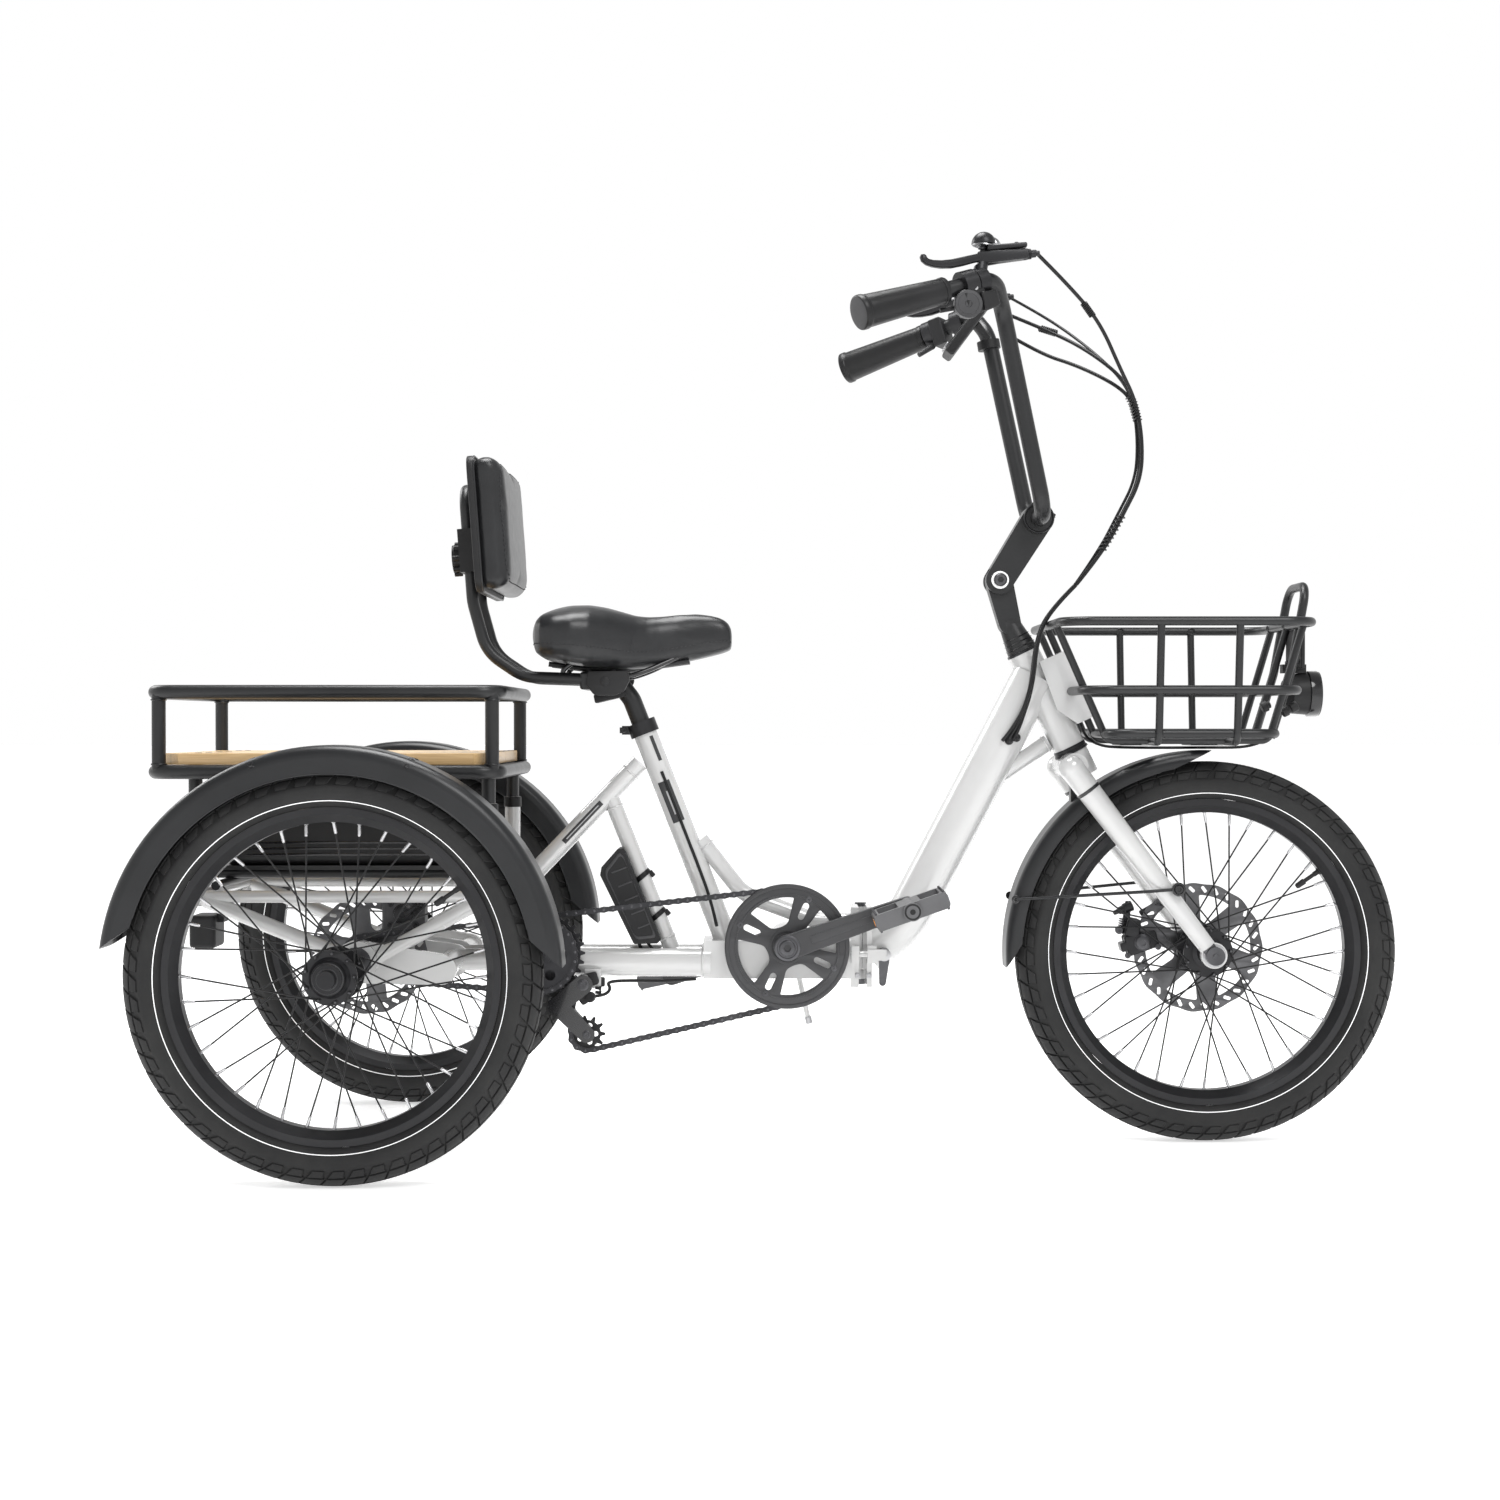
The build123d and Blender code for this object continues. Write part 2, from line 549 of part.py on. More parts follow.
def make_fenders():
    rear = fender(FENDER_R, 250, 38, FENDER_FRONT, FENDER_BACK, 11.6, 164.8)
    rear = Pos(0, -HALF_TRACK, WHEEL_R) * rear
    save("rear_fenders", *both(rear))

    front = Pos(FRONT.X, 0, FRONT.Z) * fender(275, 254, 37, 89, 184.4, 104, 176)
    tab = box(951, 966, -9, 9, 462, 512) - cross(FRONT, 274, -20, 20) - cross(CROWN, CROWN_R + 0.1, -30, 30)
    front += tab - rod(on_steer(500), on_steer(560), 22.1)
    stay = bent([(872, -37.6, 333), (1046, -82, 347), (1078, -82, 349.6)], 25, 2.2)
    stays = both(weld(stay, ring(Vector(1085, 0, 350), 9, 6.1, -84, -80)))
    save("front_fender", front, *stays)


def make_controller():
    face = outline((311, 376), (334, 402), (343, 397), (391, 278), (388, 272), (355, 271), (309, 365))
    case = slab(face, -25, 25)
    case = fillet(case.edges().filter_by(Axis.Y), 4)
    case -= rod((321, 0, 473), (406, 0, 262), 11.1)
    save("controller_case", case)

    caliper = box(20, 78, -76, -44, 292, 338, 5) - cross(AXLE, 82, -62.5, -57.5)
    caliper -= cross(AXLE, 33, -90, -30)
    caliper += box(40, 60, -48, -33, 296, 308)
    save("rear_caliper", caliper)


# ---- seat ---------------------------------------------------------------------------------
def make_seat():
    seat_dir = (SEAT_TOP - SEAT_FOOT).normalized()
    post = bent([SEAT_TOP - seat_dir * 165, SEAT_TOP + seat_dir * 42, (330, 0, 632)], 30, POST_R)
    save("seatpost", post)

    clamp = box(284, 340, -58, 58, 617, 641, 4)
    rails = [bent([(240, s * 30, 652), (285, s * 24, 646), (345, s * 24, 644.4), (430, s * 16, 656)], 25, 3.6)
             for s in (-1, 1)]
    lean = tan(radians(PAD_LEAN))
    foot_x, foot_z, top_z = 139.5, 735.0, 888.0
    top_x = foot_x - lean * (top_z - foot_z)
    arch = bent([
        (292, -50, 631), (208, -50, 634), (158, -50, 668), (foot_x, -50, foot_z), (top_x, -50, top_z),
        (top_x, 50, top_z), (foot_x, 50, foot_z), (158, 50, 668), (208, 50, 634), (292, 50, 631)],
        [60, 60, 90, 32, 32, 90, 60, 60], 8)
    save("seat_frame", weld(clamp, arch, *rails) - post)

    stations = [(219, 70, 668, 712), (236, 104, 660, 724), (270, 112, 655, 727), (310, 96, 652, 724),
                (350, 66, 652, 716), (395, 38, 663, 716), (440, 27, 672, 718), (470, 24, 677, 713),
                (483, 14, 682, 704)]
    sections = []
    for x, half, low, high in stations:
        plane = Plane(origin=(x, 0, (low + high) / 2), x_dir=(0, 1, 0), z_dir=(1, 0, 0))
        sections.append(plane * RectangleRounded(2 * half, high - low, 0.3 * min(2 * half, high - low)))
    saddle = loft(sections, ruled=True)
    for rail in rails:
        saddle -= rail
    save("saddle", saddle)

    tilt = Rot(0, -PAD_LEAN, 0)
    pad = fillet(Box(42, 270, 187).edges(), 14)
    save("backrest_pad", Pos(167, 0, 836) * tilt * pad)
    block = Pos(134, 0, 804) * tilt * Box(24, 128, 58)
    block += Pos(145, 0, 805) * tilt * Box(4, 60, 40)
    block += rod((121, 0, 797), (107, 0, 796), 17, 19)
    for s in (-1, 1):
        block -= rod((foot_x, s * 50, foot_z), (top_x, s * 50, top_z), 8 + FIT)
    save("backrest_clamp", block)


# ---- front frame --------------------------------------------------------------------------
def make_front_frame():
    head_low, head_high = on_steer(540), on_steer(668)
    main = bent([on_steer(636), (723, 0, 294), (673, 0, 258)], 110, 30.5)
    latch_x = 694.0
    parts = [
        main,
        rod(head_low, head_high, 22),
        rod((921, 0, 545.5), (846, 0, 494), 11),
        slab(outline((906, 655), (940, 670), (980, 581), (958, 571), (930, 590)), -28, 28),
        fold_plate(1),
        rod((HINGE_X - 5, -46, 259.7), (HINGE_X + 10, -46, 259.7), 4),
        box(HINGE_X + 5.5, latch_x + 3, -57, -54.3, 252, 267),
        box(HINGE_X + 5.5, latch_x + 3, -37.7, -34, 252, 267),
        cross(Vector(latch_x, 0, 259.7), 3, -56, -35),
    ]
    frame = weld(*parts) - rod(on_steer(520), on_steer(690), 17)
    frame -= box(600, HINGE_X + 0.2, -35, 35, 200, 400)
    save("front_frame", frame - fold_bore(PIN_R + FIT, 0, 400))

    lower = rod(on_steer(534.9), on_steer(539.8), 23) + rod(on_steer(539), on_steer(552), 16.95)
    upper = rod(on_steer(656), on_steer(668), 16.95) + rod(on_steer(668.1), on_steer(671), 22)
    bore = rod(on_steer(500), on_steer(700), STEERER_R + FIT)
    save("headset", lower - bore, upper - bore)


def make_basket():
    r = 6.0
    rails = []
    for z, x0, x1, y, bend in ((704, 919, 1248, 174, 40), (615, 949, 1231, 164, 36), (558, 985, 1204, 152, 32)):
        rails.append(loop([(x0, -y, z), (x1, -y, z), (x1, y, z), (x0, y, z)], bend, r))
    hoops = []
    for x in (1046, 1148):
        hoops.append(bent([(x, -174, 704), (x, -156, 547), (x, 156, 547), (x, 174, 704)], 14, 5))
    for y in (-96, 0, 96):
        hoops.append(bent([(919, y, 704), (987, y, 549), (1202, y, 549), (1248, y, 704)], 14, 5))
    guard = bent([(1214, -52, 552), (1241, -52, 640), (1262, -52, 757), (1262, 52, 757), (1241, 52, 640),
                  (1214, 52, 552)], [60, 26, 26, 60], 6)
    plates = [box(x, x + 44, -34, 34, 541.5, 545) for x in (1014, 1110)]
    basket = weld(*rails, *hoops, guard, *plates)
    basket -= slab(outline((906, 655.3), (940.3, 670.3), (980.5, 581), (958, 570.7), (930, 590)), -28.3, 28.3)
    save("basket", basket)

    lamp = rod((1252, 0, 612), (1290, 0, 612), 27, 30) + rod((1242, 0, 612), (1252, 0, 612), 18, 27)
    lamp += box(1240, 1272, -9, 9, 640, 652)
    plate = box(1256, 1262, -45.5, 45.5, 646, 702, 2)
    save("headlight", lamp - cross(Vector(1243, 0, 615), 6.3, -60, 60), plate)


# ---- fork and steering --------------------------------------------------------------------
def make_fork():
    leg_top = Vector(945, 0, 511)
    parts = [rod(on_steer(500), on_steer(534.5), 22), cross(CROWN, CROWN_R, -LEG_Y, LEG_Y)]
    for y in (-LEG_Y, LEG_Y):
        parts.append(rod(at(leg_top, y), at(FRONT, y), 17, 11.5))
        parts.append(Pos(leg_top.X, y, leg_top.Z) * Sphere(17.5))
        parts.append(cross(FRONT, 17.5, y - 6, y + 6))
        side = 1 if y > 0 else -1
        parts.append(cross(Vector(1085, 0, 350), 6, y - side * 16, y + side * 20))
    fork = weld(*parts) - rod(on_steer(534.5), on_steer(580), 80)
    fork = fork + rod(on_steer(520), on_steer(676), STEERER_R) - cross(FRONT, 5.02, -90, 90)
    axle = cross(FRONT, 5, -78, 78)
    nuts = [cross(FRONT, 12.5, s * 70.1, s * 81) - cross(FRONT, 5.02, s * 60, s * 79) for s in (-1, 1)]
    save("fork", fork, axle, *nuts)

    caliper = box(1032, 1086, 34, 62, 262, 322, 6) - box(1000, 1128, 45.5, 50.5, 200, 330)
    caliper += box(1050, 1074, 45, 51, 314, 322)
    caliper -= cross(FRONT, 33, 20, 80)
    leg_cut = rod(at(leg_top, LEG_Y), at(FRONT, LEG_Y), 17.3, 11.8)
    save("front_caliper", caliper - leg_cut - cross(FRONT, 91, 46, 50))


def make_stem():
    """A folding stem: the base clamps the steerer and the arm carries the handlebar."""
    cap = rod(on_steer(671.6), on_steer(706), 21, 15) + rod(on_steer(700), on_steer(712), 15)
    arm = link(on_steer(708), STEM_PIVOT, 15, 18, -13.8, 13.8)
    pivot_hole = cross(STEM_PIVOT, 6.02, -30, 30)
    base = cap + arm - pivot_hole - rod(on_steer(660), on_steer(677), STEERER_R + 0.1)
    bolt = cross(STEM_PIVOT, 6, -27, 27) + cross(STEM_PIVOT, 9, -29, -22.6) + cross(STEM_PIVOT, 9, 22.6, 29)
    save("stem_base", base, bolt)

    body = link(STEM_PIVOT, BAR_CENTRE, 19, 21, -22, 22)
    body += cross(BAR_CENTRE, 21, -27, 27)
    body -= cross(STEM_PIVOT, 20.5, -14.2, 14.2)
    body -= cross(STEM_PIVOT, 6 + FIT, -30, 30)
    body -= cross(BAR_CENTRE, BAR_R + 0.02, -40, 40)
    below = Vector(STEM_PIVOT.X + 12, 0, STEM_PIVOT.Z - 40)
    save("stem_arm", body - link(STEM_PIVOT, below, 20.5, 20.5, -14.2, 14.2))


def make_handlebar():
    right = [GRIP_END, BAR_KNEE, Vector(848, -98, 1118), Vector(905, -88, 850)]
    left = [Vector(p.X, -p.Y, p.Z) for p in reversed(right)]
    bar = bent(right + left, [34, 40, 34, 34, 40, 34], BAR_R)
    save("handlebar", bar)

    along = (BAR_KNEE - GRIP_END).normalized()
    bore = rod(GRIP_END - along * 1, GRIP_END + along * 200, BAR_R + FIT)
    grip = rod(GRIP_END - along * 5, GRIP_END + along * 5, 22.6)
    grip += rod(GRIP_END + along * 4, GRIP_END + along * 121, 21.3, 16.9)
    grip += rod(GRIP_END + along * 119.5, GRIP_END + along * 126, 17.9)
    save("grips", *both(grip - bore))

    ring_foot = GRIP_END + along * 172
    ring_clamp = rod(ring_foot, ring_foot + along * 16, 18)
    body = rod(ring_foot + along * 8 + Vector(0, 0, 8), LEVER_PIVOT + Vector(0, 0, -3), 9)
    arm = rod(LEVER_PIVOT + Vector(6, 2, 1), Vector(872, -150, 1183), 10, 7)
    perch = ring_clamp + body + arm
    perch -= bar
    perch -= lever_slot()
    throttle_ring = rod(GRIP_END + along * 128, GRIP_END + along * 146, 19)
    shifter = rod(GRIP_END + along * 150, GRIP_END + along * 170, 19)
    bore = rod(GRIP_END, GRIP_END + along * 260, BAR_R + FIT)
    bell_dome = Pos(818, -146, 1196) * (Sphere(16) - Pos(0, 0, -16) * Box(40, 40, 32))
    bell = bell_dome + rod((818, -146, 1186), (818, -146, 1198), 5)
    left_perch = mirror(perch, Plane.XZ)
    save("bar_clamps", perch, left_perch, shifter - bore, mirror(throttle_ring - bore, Plane.XZ), bell)

    lever = brake_lever()
    save("right_brake_lever", lever)
    save("left_brake_lever", mirror(lever, Plane.XZ))

    paddle_root = GRIP_END + along * 159 - Vector(0, 0, 26)
    paddle = rod(paddle_root, paddle_root + Vector(-34, -6, -8), 4, 3)
    paddle += Pos(paddle_root) * Cylinder(4.6, 9)
    save("shift_lever", paddle)
    thumb_root = GRIP_END + along * 137 + Vector(0, 14, -20)
    thumb = rod(thumb_root, thumb_root + Vector(-20, 10, -14), 4.5, 3.5)
    thumb += cross(thumb_root, 4.6, thumb_root.Y - 2.5, thumb_root.Y + 4.5)
    thumb = mirror(thumb, Plane.XZ)
    save("throttle", thumb)

    screen = Pos(822, 48, 1130) * Rot(0, 36.5, 0) * fillet(Box(14, 64, 122).edges(), 4)
    bracket = rod((828, 72, 1130), (845, 88, 1112), 6) + rod((850, 97.5, 1098), (848, 98, 1110), 16)
    save("display", (screen + bracket) - bar)


def lever_slot():
    """The space that the brake lever's root turns in."""
    back = (LEVER_TIP - LEVER_PIVOT).normalized()
    root = rod(LEVER_PIVOT - LEVER_AXIS * 4.3, LEVER_PIVOT + LEVER_AXIS * 4.3, 12)
    return root + rod(LEVER_PIVOT, LEVER_PIVOT + back * 40, 10)


def brake_lever():
    root = rod(LEVER_PIVOT - LEVER_AXIS * 4, LEVER_PIVOT + LEVER_AXIS * 4, 7)
    blade = bent([LEVER_PIVOT, LEVER_PIVOT + Vector(-28, -13, 4), LEVER_TIP], 60, 4.2)
    return root + blade + Pos(LEVER_TIP) * Sphere(6)


# ---- cables -------------------------------------------------------------------------------
def make_cables():
    r = 2.5
    drop = [(1031, 1005), (1040.5, 952.5), (1038.6, 899.2), (1014.6, 852.2), (988, 802.4), (951.8, 758)]
    right = [(884, -150, 1186), (927, -130, 1150), (975, -105, 1103), (1007, -80, 1043)]
    middle = [(872, 62, 1141), (931, 38, 1112), (972, -10, 1080), (1013.5, -50, 1038)]
    left = [(862, 84, 1124), (916, 60, 1086), (962, 10, 1062), (1010, -36, 1028)]
    uppers = []
    for start, y in ((right, -56), (middle, -47), (left, -38)):
        uppers.append(cable(start + [(x, y, z) for x, z in drop], r))
    save("upper_cables", *uppers)

    lowers = []
    for y, spread in ((-56, -9), (-47, 0), (-38, 9)):
        foot = [(951.2, y, 757.2), (916, y + 3, 722), (900, y + 2, 684), (893, -45 + 0.7 * spread, 626),
                (880 + 0.3 * spread, -43 + 0.3 * spread, 576), (862 + 0.8 * spread, -34.5, 548)]
        lowers.append(cable(foot, r))
    lamp_lead = [(968, 32, 580), (972, 30, 556), (995, 24, 540), (1030, 19, 538.2), (1085, 20, 538),
                 (1140, 20.5, 538.3), (1200, 19, 538.2), (1228, 16, 552), (1238, 10, 586)]
    save("lower_cables", *lowers, cable(lamp_lead, 2))

    stay = [(440, -30, 224.5), (400, -30, 221), (350, -31, 222.6), (318, -34, 221)]
    tail = [(326, -56, 214), (318, -66, 206), (303, -76, 206)]
    save("rear_cables", cable(stay + tail, 2.2))


os.makedirs("parts", exist_ok=True)
make_wheels()
make_crankset()
save("right_pedal", pedal(crank_end(CRANK_ANGLE), -1, CRANK_ANGLE))
save("left_pedal", pedal(crank_end(CRANK_ANGLE + 180), 1, 12))
make_drive()
make_derailleur()
make_rear_frame()
make_fold_parts()
make_rack()
make_fenders()
make_controller()
make_seat()
make_front_frame()
make_basket()
make_fork()
make_stem()
make_handlebar()
make_cables()
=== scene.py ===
import math

import bmesh
import bpy
from mathutils import Matrix, Vector
from mathutils.bvhtree import BVHTree


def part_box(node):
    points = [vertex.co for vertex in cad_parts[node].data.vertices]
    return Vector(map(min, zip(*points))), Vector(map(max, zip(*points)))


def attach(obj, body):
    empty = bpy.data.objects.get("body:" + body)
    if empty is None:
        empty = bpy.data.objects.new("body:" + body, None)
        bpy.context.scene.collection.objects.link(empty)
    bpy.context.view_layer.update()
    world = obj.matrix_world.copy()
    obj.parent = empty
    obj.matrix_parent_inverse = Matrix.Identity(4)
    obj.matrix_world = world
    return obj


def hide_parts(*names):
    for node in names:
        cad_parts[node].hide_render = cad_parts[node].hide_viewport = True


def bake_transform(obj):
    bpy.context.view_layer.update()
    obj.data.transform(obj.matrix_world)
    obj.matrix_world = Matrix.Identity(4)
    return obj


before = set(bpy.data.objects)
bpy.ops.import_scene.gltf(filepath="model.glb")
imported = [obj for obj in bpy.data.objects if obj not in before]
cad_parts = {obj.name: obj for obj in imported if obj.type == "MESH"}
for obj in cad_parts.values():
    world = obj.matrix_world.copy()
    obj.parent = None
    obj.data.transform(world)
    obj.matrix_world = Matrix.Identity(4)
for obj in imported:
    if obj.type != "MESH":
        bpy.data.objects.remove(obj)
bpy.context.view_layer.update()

MM = 0.001
rear_low, rear_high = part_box("right_tyre")
AXLE_X = (rear_low.x + rear_high.x) / 2
WHEEL_R = 260.0
WHEELBASE = 1135.7
HALF_TRACK = 320.0
SPOKES = 36
RIM_BED_R = 190.0
CRANK_ANGLE = 19.3
CHAIN_PITCH = 12.7
CHAIN_Y, FINAL_Y = -58.8, -92.0
BB, JACK = (563, 272), (232, 262)
GUIDE, TENSION = (255, 193), (293.7, 153.6)


def P(x, y, z):
    """A point given in millimetres from the rear axle, the middle plane and the ground."""
    return Vector((AXLE_X + x * MM, y * MM, z * MM))


def polar(centre, r, degrees_up):
    a = math.radians(degrees_up)
    return centre[0] + r * math.cos(a), centre[1] + r * math.sin(a)


# ---- materials --------------------------------------------------------------------------
def shader(name, base, rough, **sockets):
    """A Principled material and its node tree, with constants set on its own sockets."""
    mat = bpy.data.materials.new(name)
    mat.use_nodes = True
    bsdf = mat.node_tree.nodes["Principled BSDF"]
    bsdf.inputs["Base Color"].default_value = (*base, 1)
    bsdf.inputs["Roughness"].default_value = rough
    for socket, value in sockets.items():
        bsdf.inputs[socket.replace("_", " ")].default_value = value
    return mat


def add(mat, kind, inputs=(), **settings):
    node = mat.node_tree.nodes.new(kind)
    for key, value in settings.items():
        setattr(node, key, value)
    for key, value in dict(inputs).items():
        if isinstance(value, bpy.types.NodeSocket):
            mat.node_tree.links.new(value, node.inputs[key])
        else:
            node.inputs[key].default_value = value
    return node


def place(mat, scale=(1, 1, 1), rotation=(0, 0, 0)):
    coordinates = add(mat, "ShaderNodeTexCoord").outputs["Object"]
    return add(mat, "ShaderNodeMapping", {"Vector": coordinates, "Scale": scale,
                                          "Rotation": rotation}).outputs[0]


def ramp(mat, factor, low, high, at=(0.3, 0.7)):
    node = add(mat, "ShaderNodeValToRGB", {"Fac": factor})
    for element, position, color in zip(node.color_ramp.elements, at, (low, high)):
        element.position = position
        element.color = (*color, 1)
    return node.outputs[0]


def spread(mat, factor, low, high):
    return add(mat, "ShaderNodeMapRange", {"Value": factor, "To Min": low, "To Max": high}).outputs[0]


def grain(mat, where, size, detail=4.0, rough=0.55):
    return add(mat, "ShaderNodeTexNoise", {
        "Vector": where, "Scale": size, "Detail": detail, "Roughness": rough}).outputs["Fac"]


def bump(mat, heights, strength, distance):
    """Bumps, chained one after another, into the shader's normal."""
    bsdf = mat.node_tree.nodes["Principled BSDF"]
    normal = None
    for height, amount, depth in zip(heights, strength, distance):
        inputs = {"Height": height, "Strength": amount, "Distance": depth}
        if normal is not None:
            inputs["Normal"] = normal
        normal = add(mat, "ShaderNodeBump", inputs).outputs[0]
    mat.node_tree.links.new(normal, bsdf.inputs["Normal"])


def wire_up(mat, socket, value):
    mat.node_tree.links.new(value, mat.node_tree.nodes["Principled BSDF"].inputs[socket])


def coated(name, low, high, rough, fine, bump_depth, peel=0.0, **sockets):
    """Paint, powder coat, anodising or moulded plastic: slight colour and gloss variation over a fine skin."""
    mat = shader(name, low, sum(rough) / 2, **sockets)
    where = place(mat)
    cloud = grain(mat, where, 9, 5)
    wire_up(mat, "Base Color", ramp(mat, cloud, low, high))
    wire_up(mat, "Roughness", spread(mat, grain(mat, where, 38, 6), *rough))
    bump(mat, [grain(mat, where, fine, 3), grain(mat, where, 60, 2)], [0.5, 0.4], [bump_depth, peel])
    return mat


def brushed(name, low, high, rough, stretch, **sockets):
    mat = shader(name, low, sum(rough) / 2, Metallic=1.0, **sockets)
    where = place(mat, stretch)
    lines = grain(mat, where, 160, 6, 0.7)
    stains = grain(mat, place(mat), 22, 5)
    wire_up(mat, "Base Color", ramp(mat, stains, low, high, (0.25, 0.75)))
    wire_up(mat, "Roughness", spread(mat, lines, *rough))
    bump(mat, [lines], [0.25], [0.00006])
    return mat


def make_wood():
    mat = shader("bamboo", (0.8, 0.6, 0.34), 0.42, Coat_Weight=0.5, Coat_Roughness=0.22)
    fibre = grain(mat, place(mat, (3, 160, 160)), 6, 8, 0.6)
    strips = add(mat, "ShaderNodeTexWave", {
        "Vector": place(mat), "Scale": 23.0, "Distortion": 0.3, "Detail": 1.0},
        bands_direction="Y").outputs["Fac"]
    knots = add(mat, "ShaderNodeTexVoronoi", {
        "Vector": place(mat, (6, 52, 52)), "Scale": 1.4}, distance="CHEBYCHEV").outputs["Distance"]
    tone = ramp(mat, fibre, (0.60, 0.37, 0.155), (0.86, 0.62, 0.33), (0.28, 0.72))
    strip_tone = ramp(mat, strips, (0.80, 0.78, 0.74), (1, 1, 1), (0.02, 0.2))
    knot_tone = ramp(mat, knots, (0.70, 0.62, 0.5), (1, 1, 1), (0.01, 0.06))
    mix = tone
    for extra in (strip_tone, knot_tone):
        node = add(mat, "ShaderNodeMix", {0: 0.7}, data_type="RGBA", blend_type="MULTIPLY")
        mat.node_tree.links.new(mix, node.inputs[6])
        mat.node_tree.links.new(extra, node.inputs[7])
        mix = node.outputs[2]
    wire_up(mat, "Base Color", mix)
    wire_up(mat, "Roughness", spread(mat, fibre, 0.36, 0.56))
    bump(mat, [fibre, strips], [0.3, 0.25], [0.0003, 0.0004])
    return mat


def make_rubber(name, low, high, rough, grain_size, depth):
    mat = shader(name, low, sum(rough) / 2, Specular_IOR_Level=0.28)
    where = place(mat)
    dust = grain(mat, where, 14, 6, 0.65)
    wire_up(mat, "Base Color", ramp(mat, dust, low, high, (0.35, 0.8)))
    wire_up(mat, "Roughness", spread(mat, dust, *rough))
    bump(mat, [grain(mat, where, grain_size, 4)], [0.6], [depth])
    return mat


def make_leather():
    mat = shader("soft_vinyl", (0.02, 0.021, 0.023), 0.4, Sheen_Weight=0.03, Sheen_Roughness=0.4,
                 Specular_IOR_Level=0.42)
    where = place(mat)
    cells = add(mat, "ShaderNodeTexVoronoi", {"Vector": where, "Scale": 620.0}).outputs["Distance"]
    creases = grain(mat, where, 85, 8, 0.6)
    cloud = grain(mat, where, 18, 4)
    wire_up(mat, "Base Color", ramp(mat, cloud, (0.009, 0.0095, 0.0105), (0.017, 0.0175, 0.019)))
    wire_up(mat, "Roughness", spread(mat, creases, 0.27, 0.4))
    bump(mat, [cells, creases], [0.35, 0.35], [0.00025, 0.0004])
    return mat


def make_lens(name, low, high, facets, transmission):
    mat = shader(name, low, 0.12, Coat_Weight=1.0, Coat_Roughness=0.03, Transmission_Weight=transmission,
                 IOR=1.49)
    cells = add(mat, "ShaderNodeTexVoronoi", {"Vector": place(mat), "Scale": facets}, distance="CHEBYCHEV")
    wire_up(mat, "Base Color", ramp(mat, cells.outputs["Distance"], low, high, (0.1, 0.6)))
    bump(mat, [cells.outputs["Distance"]], [0.8], [0.0012])
    return mat


WHITE = coated("pearl_paint", (0.56, 0.56, 0.56), (0.61, 0.61, 0.605), (0.2, 0.3), 2600, 0.00002, 0.0001,
               Coat_Weight=0.7, Coat_Roughness=0.08, Metallic=0.15)
BLACK = coated("black_powder_coat", (0.010, 0.0102, 0.011), (0.017, 0.0175, 0.0185), (0.3, 0.4), 2200,
               0.00009, 0.0001, Specular_IOR_Level=0.42)
FENDER = coated("black_moulded_fender", (0.008, 0.0085, 0.0095), (0.014, 0.0145, 0.016), (0.3, 0.38), 1500,
                0.00006, 0.0003, Specular_IOR_Level=0.42)
PLASTIC = coated("black_textured_plastic", (0.010, 0.010, 0.0105), (0.018, 0.018, 0.019), (0.42, 0.55),
                 1200, 0.00018, 0.0002, Specular_IOR_Level=0.32)
ANODISED = coated("black_anodised", (0.017, 0.017, 0.0185), (0.03, 0.03, 0.032), (0.28, 0.4), 1800, 0.00005,
                  0.0001, Metallic=0.45, Specular_IOR_Level=0.4)
CASTING = coated("grey_casting", (0.045, 0.045, 0.047), (0.07, 0.07, 0.073), (0.36, 0.5), 900, 0.00015,
                 0.0002, Metallic=0.4, Specular_IOR_Level=0.4)
PEDAL = coated("grey_pedal_casting", (0.10, 0.10, 0.104), (0.15, 0.15, 0.155), (0.36, 0.5), 900, 0.00015,
               0.0002, Metallic=0.5)
GLOSS = coated("gloss_black", (0.008, 0.008, 0.009), (0.013, 0.013, 0.0145), (0.1, 0.2), 1500, 0.00002,
               0.0001, Coat_Weight=0.5, Coat_Roughness=0.05, Specular_IOR_Level=0.35)
DECAL = coated("plain_decal", (0.02, 0.02, 0.022), (0.035, 0.035, 0.037), (0.3, 0.4), 2500, 0.00003, 0.0001)
GREY_LINE = coated("grey_line_decal", (0.36, 0.36, 0.37), (0.46, 0.46, 0.47), (0.3, 0.4), 2500, 0.00003,
                   0.0001)
# The emission here is a painted glow: the tyre bands and stem washers shine as if lit, though they are no
# lamps.
REFLECT_PAINTED_GLOW = coated("reflective_band_painted_glow", (0.86, 0.87, 0.88), (0.95, 0.95, 0.95), (0.3, 0.4), 1400, 0.0001,
                 0.0001, Emission_Color=(1, 1, 1, 1), Emission_Strength=0.25)
STEEL = brushed("dark_steel", (0.07, 0.07, 0.074), (0.13, 0.13, 0.137), (0.3, 0.48), (1, 6, 1))
SPOKE = coated("black_spoke", (0.010, 0.010, 0.0105), (0.016, 0.016, 0.017), (0.38, 0.5), 2600, 0.00002,
               0.00002, Specular_IOR_Level=0.3)
ROTOR = brushed("rotor_steel", (0.09, 0.09, 0.094), (0.16, 0.16, 0.165), (0.32, 0.46), (1, 8, 1))
NICKEL = brushed("bright_nickel", (0.42, 0.42, 0.43), (0.6, 0.6, 0.61), (0.18, 0.32), (4, 4, 4))
ALLOY = brushed("satin_alloy", (0.36, 0.36, 0.37), (0.52, 0.52, 0.53), (0.26, 0.42), (2, 5, 2))
CHAIN = brushed("chain_steel", (0.035, 0.035, 0.037), (0.075, 0.075, 0.08), (0.32, 0.5), (3, 3, 3))
BAMBOO = make_wood()
TYRE = make_rubber("tyre_rubber", (0.014, 0.014, 0.0145), (0.028, 0.028, 0.0275), (0.5, 0.7), 1300, 0.00025)
GRIP = make_rubber("grip_rubber", (0.010, 0.010, 0.0105), (0.018, 0.018, 0.019), (0.3, 0.42), 1600, 0.00012)
